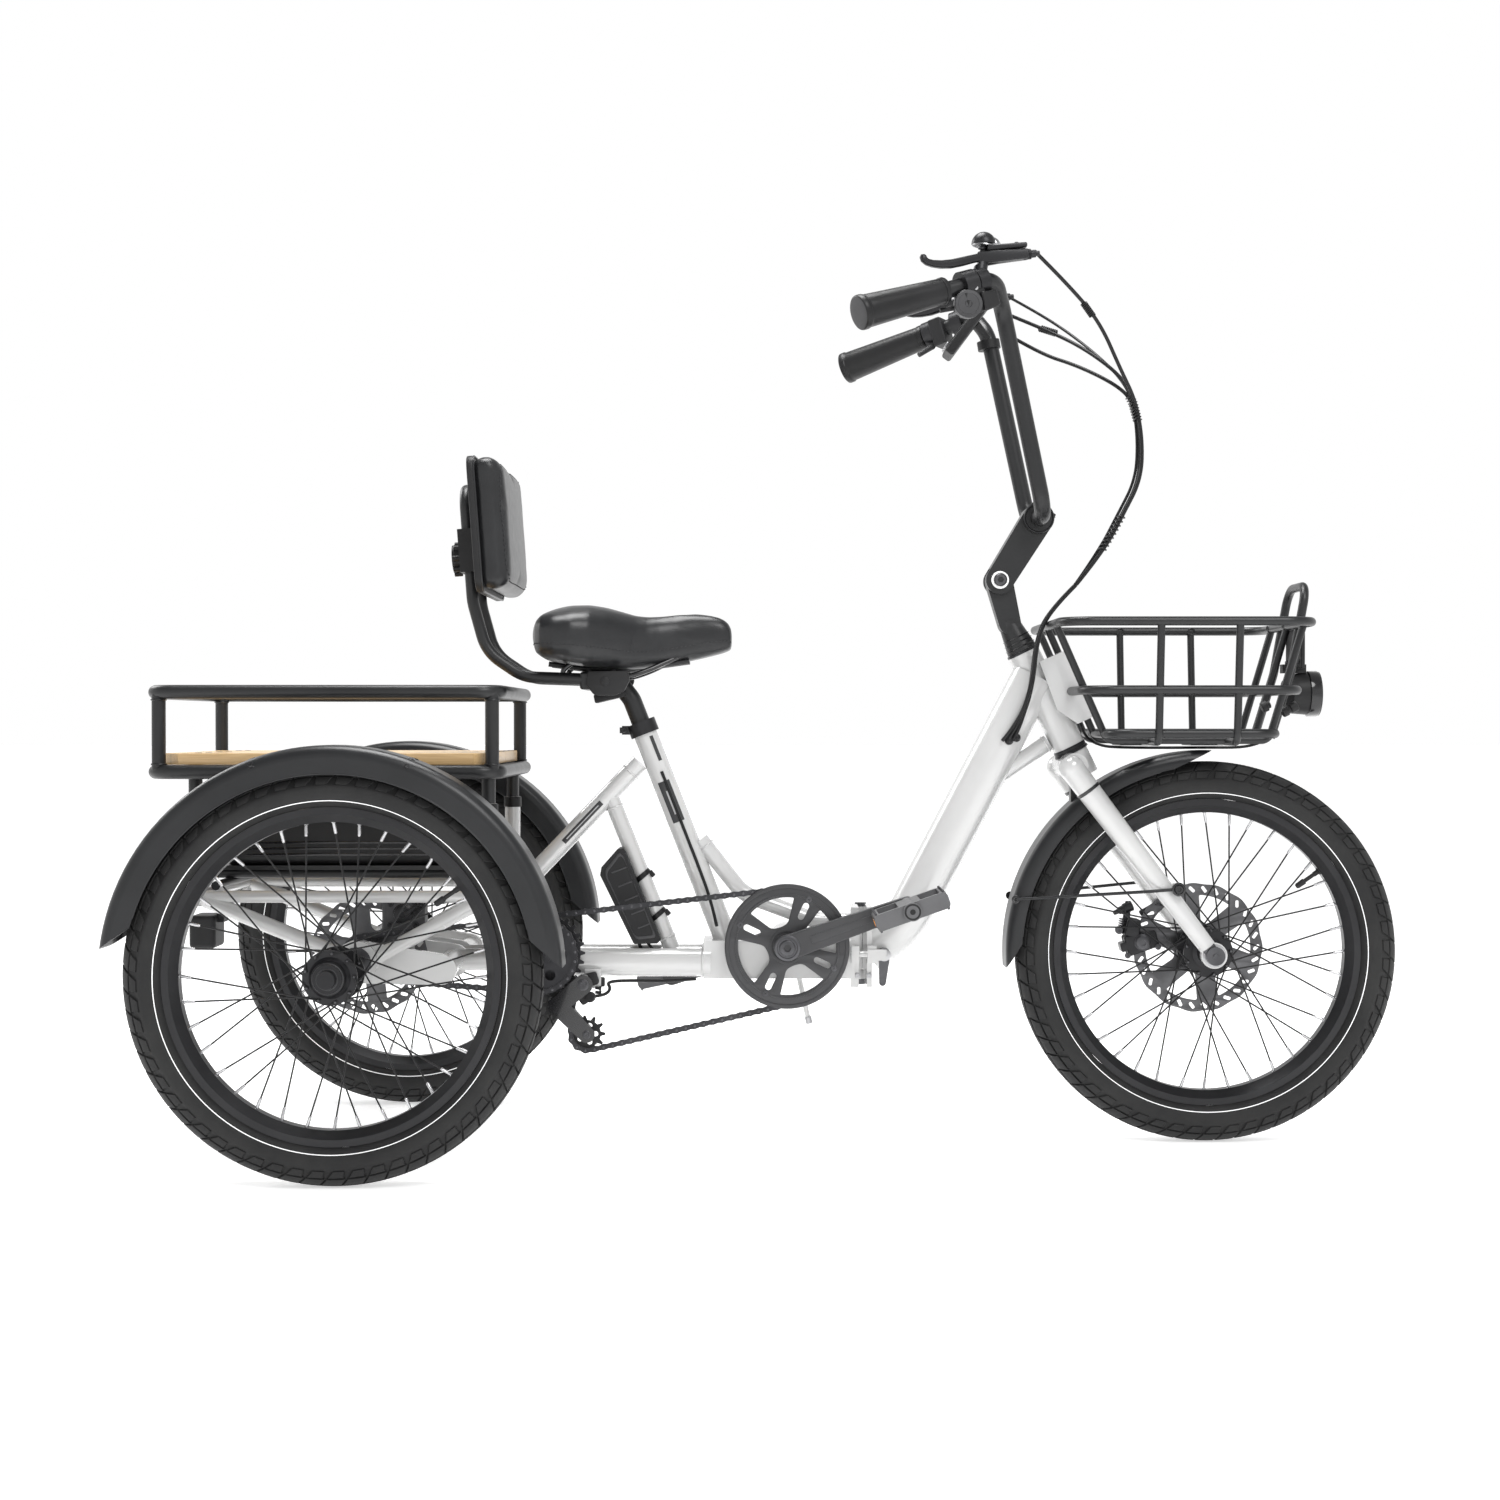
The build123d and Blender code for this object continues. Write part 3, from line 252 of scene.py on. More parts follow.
CABLE = make_rubber("cable_housing", (0.008, 0.008, 0.0085), (0.014, 0.014, 0.015), (0.28, 0.42), 1700,
                    0.00005)
VINYL = make_leather()
RED = make_lens("red_lens", (0.18, 0.006, 0.008), (0.42, 0.012, 0.015), 260, 0.25)
AMBER = make_lens("amber_reflector", (0.6, 0.16, 0.01), (0.95, 0.34, 0.03), 330, 0.1)
CLEAR = make_lens("clear_lens", (0.8, 0.82, 0.84), (0.95, 0.96, 0.97), 120, 0.75)
THREAD = make_rubber("stitch_thread", (0.03, 0.03, 0.032), (0.06, 0.06, 0.062), (0.6, 0.8), 3000, 0.0001)


# ---- geometry ---------------------------------------------------------------------------
GROUPS = {}


def put(group, verts, faces):
    own_verts, own_faces = GROUPS.setdefault(group, ([], []))
    base = len(own_verts)
    own_verts.extend(tuple(v) for v in verts)
    own_faces.extend(tuple(base + i for i in f) for f in faces)


def put_bmesh(group, bm, matrix=Matrix.Identity(4)):
    bm.verts.index_update()
    put(group, [matrix @ v.co for v in bm.verts], [[v.index for v in f.verts] for f in bm.faces])
    bm.free()


def basis(direction):
    """Two unit vectors across a direction."""
    direction = Vector(direction).normalized()
    helper = Vector((0, 0, 1)) if abs(direction.z) < 0.9 else Vector((1, 0, 0))
    u = direction.cross(helper).normalized()
    return u, direction.cross(u)


def turned(group, start, direction, profile, sides=28):
    """A turned part. Its profile is (distance, radius) or (distance, radius, flats), in millimetres."""
    direction = Vector(direction).normalized()
    u, v = basis(direction)
    verts, faces = [], []
    for entry in profile:
        along, r = entry[0], entry[1]
        flats = entry[2] if len(entry) > 2 else 0
        for k in range(sides):
            t = 2 * math.pi * k / sides
            reach = r
            if flats:
                step = 2 * math.pi / flats
                reach = r * math.cos(step / 2) / math.cos((t % step) - step / 2)
            verts.append(start + direction * along * MM + (u * math.cos(t) + v * math.sin(t)) * reach * MM)
    rings = len(profile)
    for i in range(rings - 1):
        for k in range(sides):
            n = (k + 1) % sides
            faces.append((i * sides + k, i * sides + n, (i + 1) * sides + n, (i + 1) * sides + k))
    faces.append(tuple(reversed(range(sides))))
    faces.append(tuple(range((rings - 1) * sides, rings * sides)))
    put(group, verts, faces)


def bolt(group, at, direction, r=4.5, height=4.0):
    """A domed socket-head bolt with its washer."""
    turned(group, at, direction, [
        (0, r * 1.35), (0.8, r * 1.4), (1.1, r * 1.3), (1.2, r), (height * 0.7, r), (height, r * 0.86),
        (height, r * 0.55, 6), (height * 0.45, r * 0.5, 6)], 24)


def hex_nut(group, at, direction, r=7.0, height=6.0):
    turned(group, at, direction, [
        (0, r * 1.3), (1.0, r * 1.35), (1.4, r * 1.25), (1.5, r * 1.02, 6), (height - 1, r * 1.04, 6),
        (height, r * 0.88), (height, r * 0.5), (height + 2.5, r * 0.48), (height + 3, r * 0.4)], 36)


def wire(group, points, r, cyclic=False, kind="NURBS", steps=6, sides=4):
    """A round wire or tube along a smooth line through or near its points."""
    curve = bpy.data.curves.new("route", "CURVE")
    curve.dimensions = "3D"
    curve.bevel_depth = r * MM
    curve.bevel_resolution = sides
    curve.resolution_u = steps
    curve.use_fill_caps = True
    spline = curve.splines.new(kind)
    spline.points.add(len(points) - 1)
    for point, co in zip(spline.points, points):
        point.co = (*co, 1)
    if kind == "NURBS":
        spline.order_u = 3
        spline.use_endpoint_u = not cyclic
    spline.use_cyclic_u = cyclic
    put_curve(group, curve)


def put_curve(group, curve, matrix=Matrix.Identity(4)):
    holder = bpy.data.objects.new("route", curve)
    bpy.context.scene.collection.objects.link(holder)
    bpy.context.view_layer.update()
    mesh = bpy.data.meshes.new_from_object(holder.evaluated_get(bpy.context.evaluated_depsgraph_get()))
    put(group, [matrix @ v.co for v in mesh.vertices], [tuple(p.vertices) for p in mesh.polygons])
    bpy.data.objects.remove(holder)
    bpy.data.curves.remove(curve)
    bpy.data.meshes.remove(mesh)


def rounded(points, radius, steps=5):
    """A closed outline with its corners rounded."""
    result = []
    count = len(points)
    for i, point in enumerate(points):
        before, corner, after = Vector(points[i - 1]), Vector(point), Vector(points[(i + 1) % count])
        a, b = before - corner, after - corner
        reach = min(radius, 0.45 * a.length, 0.45 * b.length)
        first, last = corner + a.normalized() * reach, corner + b.normalized() * reach
        for k in range(steps + 1):
            t = k / steps
            result.append(tuple((1 - t) ** 2 * first + 2 * t * (1 - t) * corner + t * t * last))
    return result


def circle(r, centre=(0, 0), sides=64, start=0.0):
    return [(centre[0] + r * math.cos(start + 2 * math.pi * k / sides),
             centre[1] + r * math.sin(start + 2 * math.pi * k / sides)) for k in range(sides)]


def plate(group, loops, thickness, matrix, edge=0.4):
    """A flat plate with holes and softened edges: the first loop is its outline, in millimetres."""
    curve = bpy.data.curves.new("outline", "CURVE")
    curve.dimensions = "2D"
    curve.fill_mode = "BOTH"
    curve.extrude = (thickness / 2 - edge) * MM
    curve.bevel_depth = edge * MM
    curve.bevel_resolution = 1
    curve.offset = -edge * MM
    for loop in loops:
        spline = curve.splines.new("POLY")
        spline.points.add(len(loop) - 1)
        for point, co in zip(spline.points, loop):
            point.co = (co[0] * MM, co[1] * MM, 0, 1)
        spline.use_cyclic_u = True
    put_curve(group, curve, matrix)


def side_plane(x, y, z):
    """A drawing plane seen from the right: its first axis forwards and its second up."""
    return Matrix.Translation(P(x, y, z)) @ Matrix(((1, 0, 0, 0), (0, 0, -1, 0), (0, 1, 0, 0),
                                                    (0, 0, 0, 1)))


def pose(at, x_axis, z_axis):
    """A placement whose X points along x_axis and whose Z is near z_axis."""
    x = Vector(x_axis).normalized()
    y = Vector(z_axis).cross(x).normalized()
    z = x.cross(y)
    return Matrix.Translation(at) @ Matrix((x, y, z)).transposed().to_4x4()


def block(group, size, matrix, edge=1.5, taper=1.0):
    """A block with rounded edges; taper narrows its far end along its own X."""
    bm = bmesh.new()
    bmesh.ops.create_cube(bm, size=1.0)
    for v in bm.verts:
        narrow = taper if v.co.x > 0 else 1.0
        v.co = Vector((v.co.x * size[0], v.co.y * size[1] * narrow, v.co.z * size[2] * narrow)) * MM
    bmesh.ops.bevel(bm, geom=bm.edges[:], offset=edge * MM, segments=3, profile=0.6, affect="EDGES")
    put_bmesh(group, bm, matrix)


def patch(group, a, b, r, middle, half, thickness=0.35, steps=10):
    """A thin label wrapped round part of a tube from a to b; its middle is a direction."""
    direction = (b - a).normalized()
    u = (Vector(middle) - direction * Vector(middle).dot(direction)).normalized()
    v = direction.cross(u)
    verts = []
    for shell in (r, r + thickness):
        for end in (a, b):
            for k in range(steps + 1):
                t = math.radians(half) * (2 * k / steps - 1)
                verts.append(end + (u * math.cos(t) + v * math.sin(t)) * shell * MM)
    n = steps + 1
    faces = []
    for k in range(steps):
        faces.append((2 * n + k, 2 * n + k + 1, 3 * n + k + 1, 3 * n + k))
        faces.append((k + 1, k, n + k, n + k + 1))
        faces.append((k, k + 1, 2 * n + k + 1, 2 * n + k))
        faces.append((n + k + 1, n + k, 3 * n + k, 3 * n + k + 1))
    faces.append((0, 2 * n, 3 * n, n))
    faces.append((n - 1, 2 * n - 1, 4 * n - 1, 3 * n - 1))
    put(group, verts, faces)


def helix(group, points, r, wire_r, turns, widen=1.0):
    """A spiral wrap round the line through a few points, wider across the object for cables side by side."""
    points = [Vector(p) for p in points]
    lengths = [(b - a).length for a, b in zip(points, points[1:])]
    total, samples, route = sum(lengths), turns * 10, []
    for k in range(samples + 1):
        left, i = total * k / samples, 0
        while i < len(lengths) - 1 and left > lengths[i]:
            left -= lengths[i]
            i += 1
        direction = points[i + 1] - points[i]
        u, v = basis(direction)
        t = 2 * math.pi * k / 10
        out = (u * math.cos(t) + v * math.sin(t)) * r * MM
        route.append(points[i] + direction * (left / lengths[i]) + Vector((out.x, out.y * widen, out.z)))
    wire(group, route, wire_r, steps=2, sides=2)


def bead(group, a, direction, r, size=1.6):
    """A rippled weld bead round a tube."""
    u, v = basis(direction)
    step = Vector(direction).normalized()
    route = []
    for k in range(60):
        t = 2 * math.pi * k / 60
        route.append(a + (u * math.cos(t) + v * math.sin(t)) * r * MM + step * 0.5 * MM * (k % 2))
    wire(group, route, size, cyclic=True, steps=1, sides=2)


def soft(obj, cap, voxel, pressure=4.0, frames=20):
    """Swells a closed mesh with cloth and air pressure, and keeps each point within cap of where it was."""
    bpy.context.view_layer.objects.active = obj
    obj.select_set(True)
    remesh = obj.modifiers.new("remesh", "REMESH")
    remesh.mode = "VOXEL"
    remesh.voxel_size = voxel
    bpy.ops.object.modifier_apply(modifier="remesh")
    rest = [v.co.copy() for v in obj.data.vertices]
    cloth = obj.modifiers.new("cloth", "CLOTH")
    cloth.settings.use_pressure = True
    cloth.settings.uniform_pressure_force = pressure
    cloth.settings.effector_weights.gravity = 0
    cloth.settings.quality = 5
    for step in range(1, frames + 1):
        bpy.context.scene.frame_set(step)
    bpy.ops.object.modifier_apply(modifier="cloth")
    bpy.context.scene.frame_set(1)
    for v, home in zip(obj.data.vertices, rest):
        move = v.co - home
        if move.length > cap:
            v.co = home + move * (cap / move.length)
    smooth = obj.modifiers.new("smooth", "SMOOTH")
    smooth.factor, smooth.iterations = 0.5, 4
    bpy.ops.object.modifier_apply(modifier="smooth")
    divide = obj.modifiers.new("divide", "SUBSURF")
    divide.levels = divide.render_levels = 1
    bpy.ops.object.modifier_apply(modifier="divide")
    obj.select_set(False)


def new_object(name, verts, faces, mat, smooth_angle=35):
    mesh = bpy.data.meshes.new(name)
    mesh.from_pydata([tuple(v) for v in verts], [], faces)
    mesh.validate()
    bm = bmesh.new()
    bm.from_mesh(mesh)
    bmesh.ops.remove_doubles(bm, verts=bm.verts, dist=1e-6)
    bmesh.ops.recalc_face_normals(bm, faces=bm.faces)
    bm.to_mesh(mesh)
    bm.free()
    mesh.materials.append(mat)
    mesh.shade_smooth()
    if smooth_angle:
        mesh.set_sharp_from_angle(angle=math.radians(smooth_angle))
    obj = bpy.data.objects.new(name, mesh)
    bpy.context.scene.collection.objects.link(obj)
    return obj


def finish_group(name, body, mat, slot, *nodes, smooth_angle=35):
    """Makes one piece of everything put in a group, riding on a body and standing for some CAD nodes."""
    verts, faces = GROUPS.pop(name)
    obj = new_object(name, verts, faces, mat, smooth_angle)
    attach(obj, body)
    if nodes:
        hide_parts(*nodes)
    return obj


def dress(mat, *nodes):
    for node in nodes:
        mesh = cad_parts[node].data
        mesh.materials.clear()
        mesh.materials.append(mat)


def repaint(node, mat, chosen):
    """Gives some faces of a CAD node another material, by where they are in millimetres."""
    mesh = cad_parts[node].data
    mesh.materials.append(mat)
    index = len(mesh.materials) - 1
    for face in mesh.polygons:
        c = face.center
        if chosen((c.x - AXLE_X) / MM, c.y / MM, c.z / MM):
            face.material_index = index


# ---- camera, light and floor ----------------------------------------------------------
def make_stage():
    scene = bpy.context.scene
    camera = bpy.data.objects.new("camera", bpy.data.cameras.new("camera"))
    camera.data.lens = 55.913
    camera.data.sensor_width = 36.0
    camera.location = (-0.0342, -3.19099, 0.57090)
    camera.rotation_euler = (math.pi / 2 - 0.01124, 0, 0.0029)
    camera.data.clip_end = 200
    scene.collection.objects.link(camera)
    scene.camera = camera

    world = bpy.data.worlds.new("studio")
    world.use_nodes = True
    background = world.node_tree.nodes["Background"]
    background.inputs["Strength"].default_value = 1.0
    direction = world.node_tree.nodes.new("ShaderNodeTexCoord")
    axes = world.node_tree.nodes.new("ShaderNodeSeparateXYZ")
    sky = world.node_tree.nodes.new("ShaderNodeValToRGB")
    world.node_tree.links.new(direction.outputs["Generated"], axes.inputs[0])
    world.node_tree.links.new(axes.outputs["Z"], sky.inputs["Fac"])
    world.node_tree.links.new(sky.outputs["Color"], background.inputs["Color"])
    for element, position, tone in zip(sky.color_ramp.elements, (0.30, 0.62), (1.0, 0.42)):
        element.position = position
        element.color = (tone, tone, tone, 1)
    scene.world = world
    scene.view_settings.view_transform = "Standard"

    for name, at, target, size, power in (
            ("key", (1.2, -2.4, 3.2), (0, 0, 0.4), 1.8, 62),
            ("top", (-0.3, 0.3, 3.2), (0, 0, 0.3), 1.6, 75),
            ("rim", (-2.6, 1.8, 2.4), (0, 0, 0.6), 1.4, 30)):
        lamp = bpy.data.lights.new(name, "AREA")
        lamp.shape = "DISK"
        lamp.size = size
        lamp.energy = power
        holder = bpy.data.objects.new(name, lamp)
        holder.location = at
        holder.rotation_euler = (Vector(target) - Vector(at)).to_track_quat("-Z", "Y").to_euler()
        scene.collection.objects.link(holder)

    reach = 60.0
    rings, faces, sides = [], [], 48
    radii = (0.0001, 1.5, 4.0, 12.0, reach)
    for r in radii:
        rings += [(r * math.cos(2 * math.pi * k / sides), r * math.sin(2 * math.pi * k / sides), 0)
                  for k in range(sides)]
    for i in range(len(radii) - 1):
        faces += [(i * sides + k, i * sides + (k + 1) % sides, (i + 1) * sides + (k + 1) % sides,
                   (i + 1) * sides + k) for k in range(sides)]
    mat = shader("pale_floor", (0.95, 0.95, 0.95), 0.6, Specular_IOR_Level=0.15,
                 Emission_Color=(1, 1, 1, 1), Emission_Strength=0.52)
    wire_up(mat, "Roughness", spread(mat, grain(mat, place(mat), 3), 0.5, 0.65))
    new_object("floor", rings, faces, mat, 0)


# ---- wheels -----------------------------------------------------------------------------
def arc_points(a, b, c, steps):
    """Points on the arc through three points."""
    a, b, c = complex(*a), complex(*b), complex(*c)
    w = (c - a) / (b - a)
    centre = (a - b) * (w - abs(w) ** 2) / (2j * w.imag) - a
    centre = -centre
    r = abs(a - centre)
    t0 = math.atan2((a - centre).imag, (a - centre).real)
    t1 = math.atan2((c - centre).imag, (c - centre).real)
    turn = (t1 - t0 + math.pi) % (2 * math.pi) - math.pi
    return [(centre.real + r * math.cos(t0 + turn * k / steps),
             centre.imag + r * math.sin(t0 + turn * k / steps))
            for k in range(steps + 1)]


TYRE_LINE = arc_points((0, 260), (21.5, 251), (31, 231), 24)[:-1] + arc_points((31, 231), (28, 217),
        (19.5, 209.4), 12)
TYRE_STEPS = [0.0]
for p0, p1 in zip(TYRE_LINE, TYRE_LINE[1:]):
    TYRE_STEPS.append(TYRE_STEPS[-1] + math.dist(p0, p1))


def on_tyre(u, v, depth):
    """A point of the tyre: u round it and v across it, in millimetres from the crown, and how deep it lies."""
    reach = min(abs(v), TYRE_STEPS[-1] - 1e-6)
    i = next(k for k in range(1, len(TYRE_STEPS)) if TYRE_STEPS[k] > reach or k == len(TYRE_STEPS) - 1)
    t = (reach - TYRE_STEPS[i - 1]) / (TYRE_STEPS[i] - TYRE_STEPS[i - 1])
    (y0, r0), (y1, r1) = TYRE_LINE[i - 1], TYRE_LINE[i]
    along = Vector((y1 - y0, r1 - r0)).normalized()
    y = y0 + t * (y1 - y0) + along.y * depth
    r = r0 + t * (r1 - r0) - along.x * depth
    a = u / WHEEL_R
    side = 1 if v >= 0 else -1
    return Vector((r * math.cos(a), side * y, r * math.sin(a))) * MM


def tread_block(verts, faces, corners, rows, top=0.0, foot=3.0):
    """One tread block between four corners (u, v), with sloping walls."""
    base = len(verts)
    cols = 3
    centre = [sum(c[k] for c in corners) / 4 for k in (0, 1)]
    for layer, depth, grow in ((0, top, -0.55), (1, top + 0.7, 0.0), (2, foot, 0.5)):
        for i in range(rows + 1):
            for j in range(cols + 1):
                s, t = i / rows, j / cols
                u = sum(w * c[0] for w, c in zip(((1-s)*(1-t), (1-s)*t, s*t, s*(1-t)), corners))
                v = sum(w * c[1] for w, c in zip(((1-s)*(1-t), (1-s)*t, s*t, s*(1-t)), corners))
                du, dv = u - centre[0], v - centre[1]
                size = max(math.hypot(du, dv), 0.1)
                verts.append(on_tyre(u + du / size * grow, v + dv / size * grow, depth))
    n = (rows + 1) * (cols + 1)
    index = lambda layer, i, j: base + layer * n + i * (cols + 1) + j
    for i in range(rows):
        for j in range(cols):
            faces.append((index(0, i, j), index(0, i + 1, j), index(0, i + 1, j + 1), index(0, i, j + 1)))
    border = [(i, 0) for i in range(rows)] + [(rows, j) for j in range(cols)]
    border += [(i, cols) for i in range(rows, 0, -1)] + [(0, j) for j in range(cols, 0, -1)]
    for layer in (0, 1):
        for a, b in zip(border, border[1:] + border[:1]):
            faces.append((index(layer, *a), index(layer, *b), index(layer + 1, *b), index(layer + 1, *a)))


def tyre_mesh():
    verts, faces = [], []
    around = 192
    marks = [-TYRE_STEPS[-1] * (1 - k / 22) for k in range(22)] + [TYRE_STEPS[-1] * k / 22 for k in range(23)]
    for k in range(around):
        for v in marks:
            tread = max(0.0, min(1.0, (43 - abs(v)) / 5))
            verts.append(on_tyre(2 * math.pi * WHEEL_R * k / around, v, 2.6 * tread))
    n = len(marks)
    for k in range(around):
        m = (k + 1) % around
        faces += [(k * n + j, m * n + j, m * n + j + 1, k * n + j + 1) for j in range(n - 1)]
    pitches = 60
    pitch = 2 * math.pi * WHEEL_R / pitches
    for k in range(pitches):
        u = k * pitch
        for side in (-1, 1):
            shift = 0 if side > 0 else pitch / 2
            lean = 8.5
            a = u + shift
            tread_block(verts, faces, [
                (a, side * 13.0), (a + pitch - 3.2, side * 11.0),
                (a + pitch - 3.2 + lean, side * 27.5), (a + lean, side * 27.5)], 5)
            tread_block(verts, faces, [
                (a + lean + 1.5, side * 29.8), (a + pitch - 5 + lean, side * 29.8),
                (a + pitch - 8 + lean * 1.6, side * 40), (a + lean * 1.6 + 4, side * 40)], 3)
            tread_block(verts, faces, [
                (a + 2, side * 1.1), (a + pitch - 1.4, side * 1.1),
                (a + pitch - 5, side * 8.4), (a - 1.5, side * 10.2)], 3)
    return verts, faces


def ring_band(group, centre, inner, outer, sides=160, lift=0.55):
    """The reflective band moulded on both sidewalls."""
    for side in (-1, 1):
        verts, faces = [], []
        line = [(v, on_tyre(0, v, 0)) for v in [46 + 0.25 * k for k in range(60)]]
        chosen = [v for v, p in line if inner < p.x / MM < outer]
        v0, v1 = chosen[0], chosen[-1]
        strip = [(v0, 0.2), (v0 + 0.15, -lift * 0.7), (v0 + 0.6, -lift), (v1 - 0.6, -lift),
                 (v1 - 0.15, -lift * 0.7), (v1, 0.2)]
        for k in range(sides):
            for v, depth in strip:
                verts.append(centre + on_tyre(2 * math.pi * WHEEL_R * k / sides, side * v, depth))
        n = len(strip)
        for k in range(sides):
            m = (k + 1) % sides
            faces += [(k * n + j, m * n + j, m * n + (j + 1) % n, k * n + (j + 1) % n) for j in range(n)]
        put(group, verts, faces)


def make_wheels():
    tread_verts, tread_faces = tyre_mesh()
    for name, centre, flange, mirrored in (
            ("right", P(0, -HALF_TRACK, WHEEL_R), 26, 1), ("left", P(0, HALF_TRACK, WHEEL_R), 26, -1),
            ("front", P(WHEELBASE, 0, WHEEL_R), 25, 1)):
        body = f"{name}_wheel"
        put(f"{name}_tyre_tread", [centre + v for v in tread_verts], tread_faces)
        finish_group(f"{name}_tyre_tread", body, TYRE, "tyre", f"{name}_tyre", smooth_angle=40)
        ring_band(f"{name}_reflective_bands", centre, 212.6, 217.4)
        # painted glow: the sidewall bands' material emits light
        finish_group(f"{name}_reflective_bands", body, REFLECT_PAINTED_GLOW, "tyre")
        for i in range(SPOKES):
            side = 1 if i % 2 else -1
            trail = 1 if (i // 2) % 2 else -1
            at_rim = 2 * math.pi * i / SPOKES
            at_hub = at_rim + trail * math.radians(64)
            face = 3.9 if trail > 0 else -2.6
            start = Vector((30 * math.cos(at_hub), mirrored * side * (flange + face),
                            30 * math.sin(at_hub)))
            end = Vector((RIM_BED_R * math.cos(at_rim), mirrored * side * 2.5,
                          RIM_BED_R * math.sin(at_rim)))
            inward = (start - end).normalized()
            nipple = end + inward * -1.5
            turned(f"{name}_nipples", centre + nipple * MM, inward, [
                (0, 3.0), (2.0, 3.0), (2.6, 2.1), (15, 2.0), (16.5, 1.5), (16.9, 1.0)], 10)
            head = Vector((start.x, mirrored * side * (flange + (1.0 if trail > 0 else -1.0)), start.z))
            turned(f"{name}_spoke_heads", centre + head * MM, (0, mirrored * side * trail, 0), [
                (0, 1.9), (1.0, 2.1), (3.2, 2.0), (4.4, 1.3), (4.7, 0.5)], 10)
        valve_angle = math.radians(35)
        out = Vector((-math.cos(valve_angle), 0, -math.sin(valve_angle)))
        turned(f"{name}_valve", centre - out * (RIM_BED_R + 1) * MM, out, [
            (0, 5.2), (2.2, 5.2), (2.4, 3.6), (9, 3.4), (9.2, 2.8), (24, 2.8), (24.4, 4.0), (26, 4.2),
            (36, 4.0), (38, 2.8), (38.4, 1.0)], 20)
        finish_group(f"{name}_nipples", body, NICKEL, "steel")
        finish_group(f"{name}_spoke_heads", body, STEEL, "steel")
        finish_group(f"{name}_valve", body, PLASTIC, "black_plastic")
        dress(ANODISED, f"{name}_rim", f"{name}_hub")
        middle_x = WHEELBASE if name == "front" else 0
        repaint(f"{name}_rim", SPOKE, lambda x, y, z: math.hypot(x - middle_x, z - WHEEL_R) < 188)

    for side, name in ((-1, "right"), (1, "left")):
        outward = (0, side, 0)
        at = P(0, side * (HALF_TRACK + 45.5), WHEEL_R)
        turned(f"{name}_hub_cap", at, outward, [
            (-9, 19), (-8.6, 20.2), (-3, 19.8), (-2, 18.6), (-2, 16.8), (-3.2, 16.2), (-3.2, 14.8),
            (0, 14.4),
            (0.9, 13.4), (0.9, 10.6), (-0.4, 10), (8.6, 9.4), (9.6, 8.4), (9.8, 5.6), (9.4, 1.5)], 48)
        finish_group(f"{name}_hub_cap", f"{name}_wheel", CASTING, "black_alloy")
        for ring_y, r in ((-22, 21), (-8, 20.4), (8, 20.4), (22, 21)):
            turned(f"{name}_hub_ribs", P(0, side * HALF_TRACK + ring_y - 1.2, WHEEL_R), (0, 1, 0), [
                (0, r - 1), (0.5, r + 0.5), (1.9, r + 0.5), (2.4, r - 1)], 48)
        finish_group(f"{name}_hub_ribs", f"{name}_wheel", ANODISED, "black_alloy")
    for ring_y, r in ((-14, 17.6), (0, 17.4), (14, 17.6)):
        turned("front_hub_ribs", P(WHEELBASE, ring_y - 1.2, WHEEL_R), (0, 1, 0), [
            (0, r - 1), (0.5, r + 0.4), (1.9, r + 0.4), (2.4, r - 1)], 48)
    finish_group("front_hub_ribs", "front_wheel", ANODISED, "black_alloy")
    make_rotors()
    for group, centre, y, outward in (("rear_rotor_bolts", (0, WHEEL_R), -61.2, -1),
                                      ("front_rotor_bolts", (WHEELBASE, WHEEL_R), 49, 1)):
        for k in range(6):
            x, z = polar(centre, 26, 60 * k + 30)
            bolt(group, P(x, y, z), (0, outward, 0), 2.4, 2.2)
    finish_group("rear_rotor_bolts", "right_wheel", STEEL, "steel")
    finish_group("front_rotor_bolts", "front_wheel", STEEL, "steel")


def make_rotors():
    """Wavy discs: a slotted brake track carried by six broad arms."""
    for name, centre, y, reach, body in (("rear_rotor", (0, WHEEL_R), -60, 80, "right_wheel"),
                                         ("front_rotor", (WHEELBASE, WHEEL_R), 48, 90, "front_wheel")):
        loops = [[polar((0, 0), reach - 0.9 + 0.9 * math.cos(math.radians(15 * 2 * k)),
                        2 * k) for k in range(180)], circle(18)]
        for arm in range(6):
            middle = 60 * arm + 12
            outer = [polar((0, 0), reach - 17, middle + a) for a in range(-19, 20, 4)]
            inner = [polar((0, 0), 37, middle + 12), polar((0, 0), 33, middle - 2)]
            loops.append(rounded(outer + inner, 4, 3))
            for slot in range(5):
                at = 60 * arm + 12 * slot
                a, b = polar((0, 0), reach - 12.5, at - 2.4), polar((0, 0), reach - 5, at + 2.4)
                across = Vector((a[1] - b[1], b[0] - a[0])).normalized() * 2.3
                ends = [(a[0] + across.x, a[1] + across.y), (a[0] - across.x, a[1] - across.y),
                        (b[0] - across.x, b[1] - across.y), (b[0] + across.x, b[1] + across.y)]
                loops.append(rounded(ends, 2.2, 3))
        plate(f"{name}_disc", loops, 1.9, side_plane(centre[0], y, centre[1]), 0.25)
        finish_group(f"{name}_disc", body, ROTOR, "steel", name)


# ---- drivetrain -------------------------------------------------------------------------
SLOT_R = 4.2


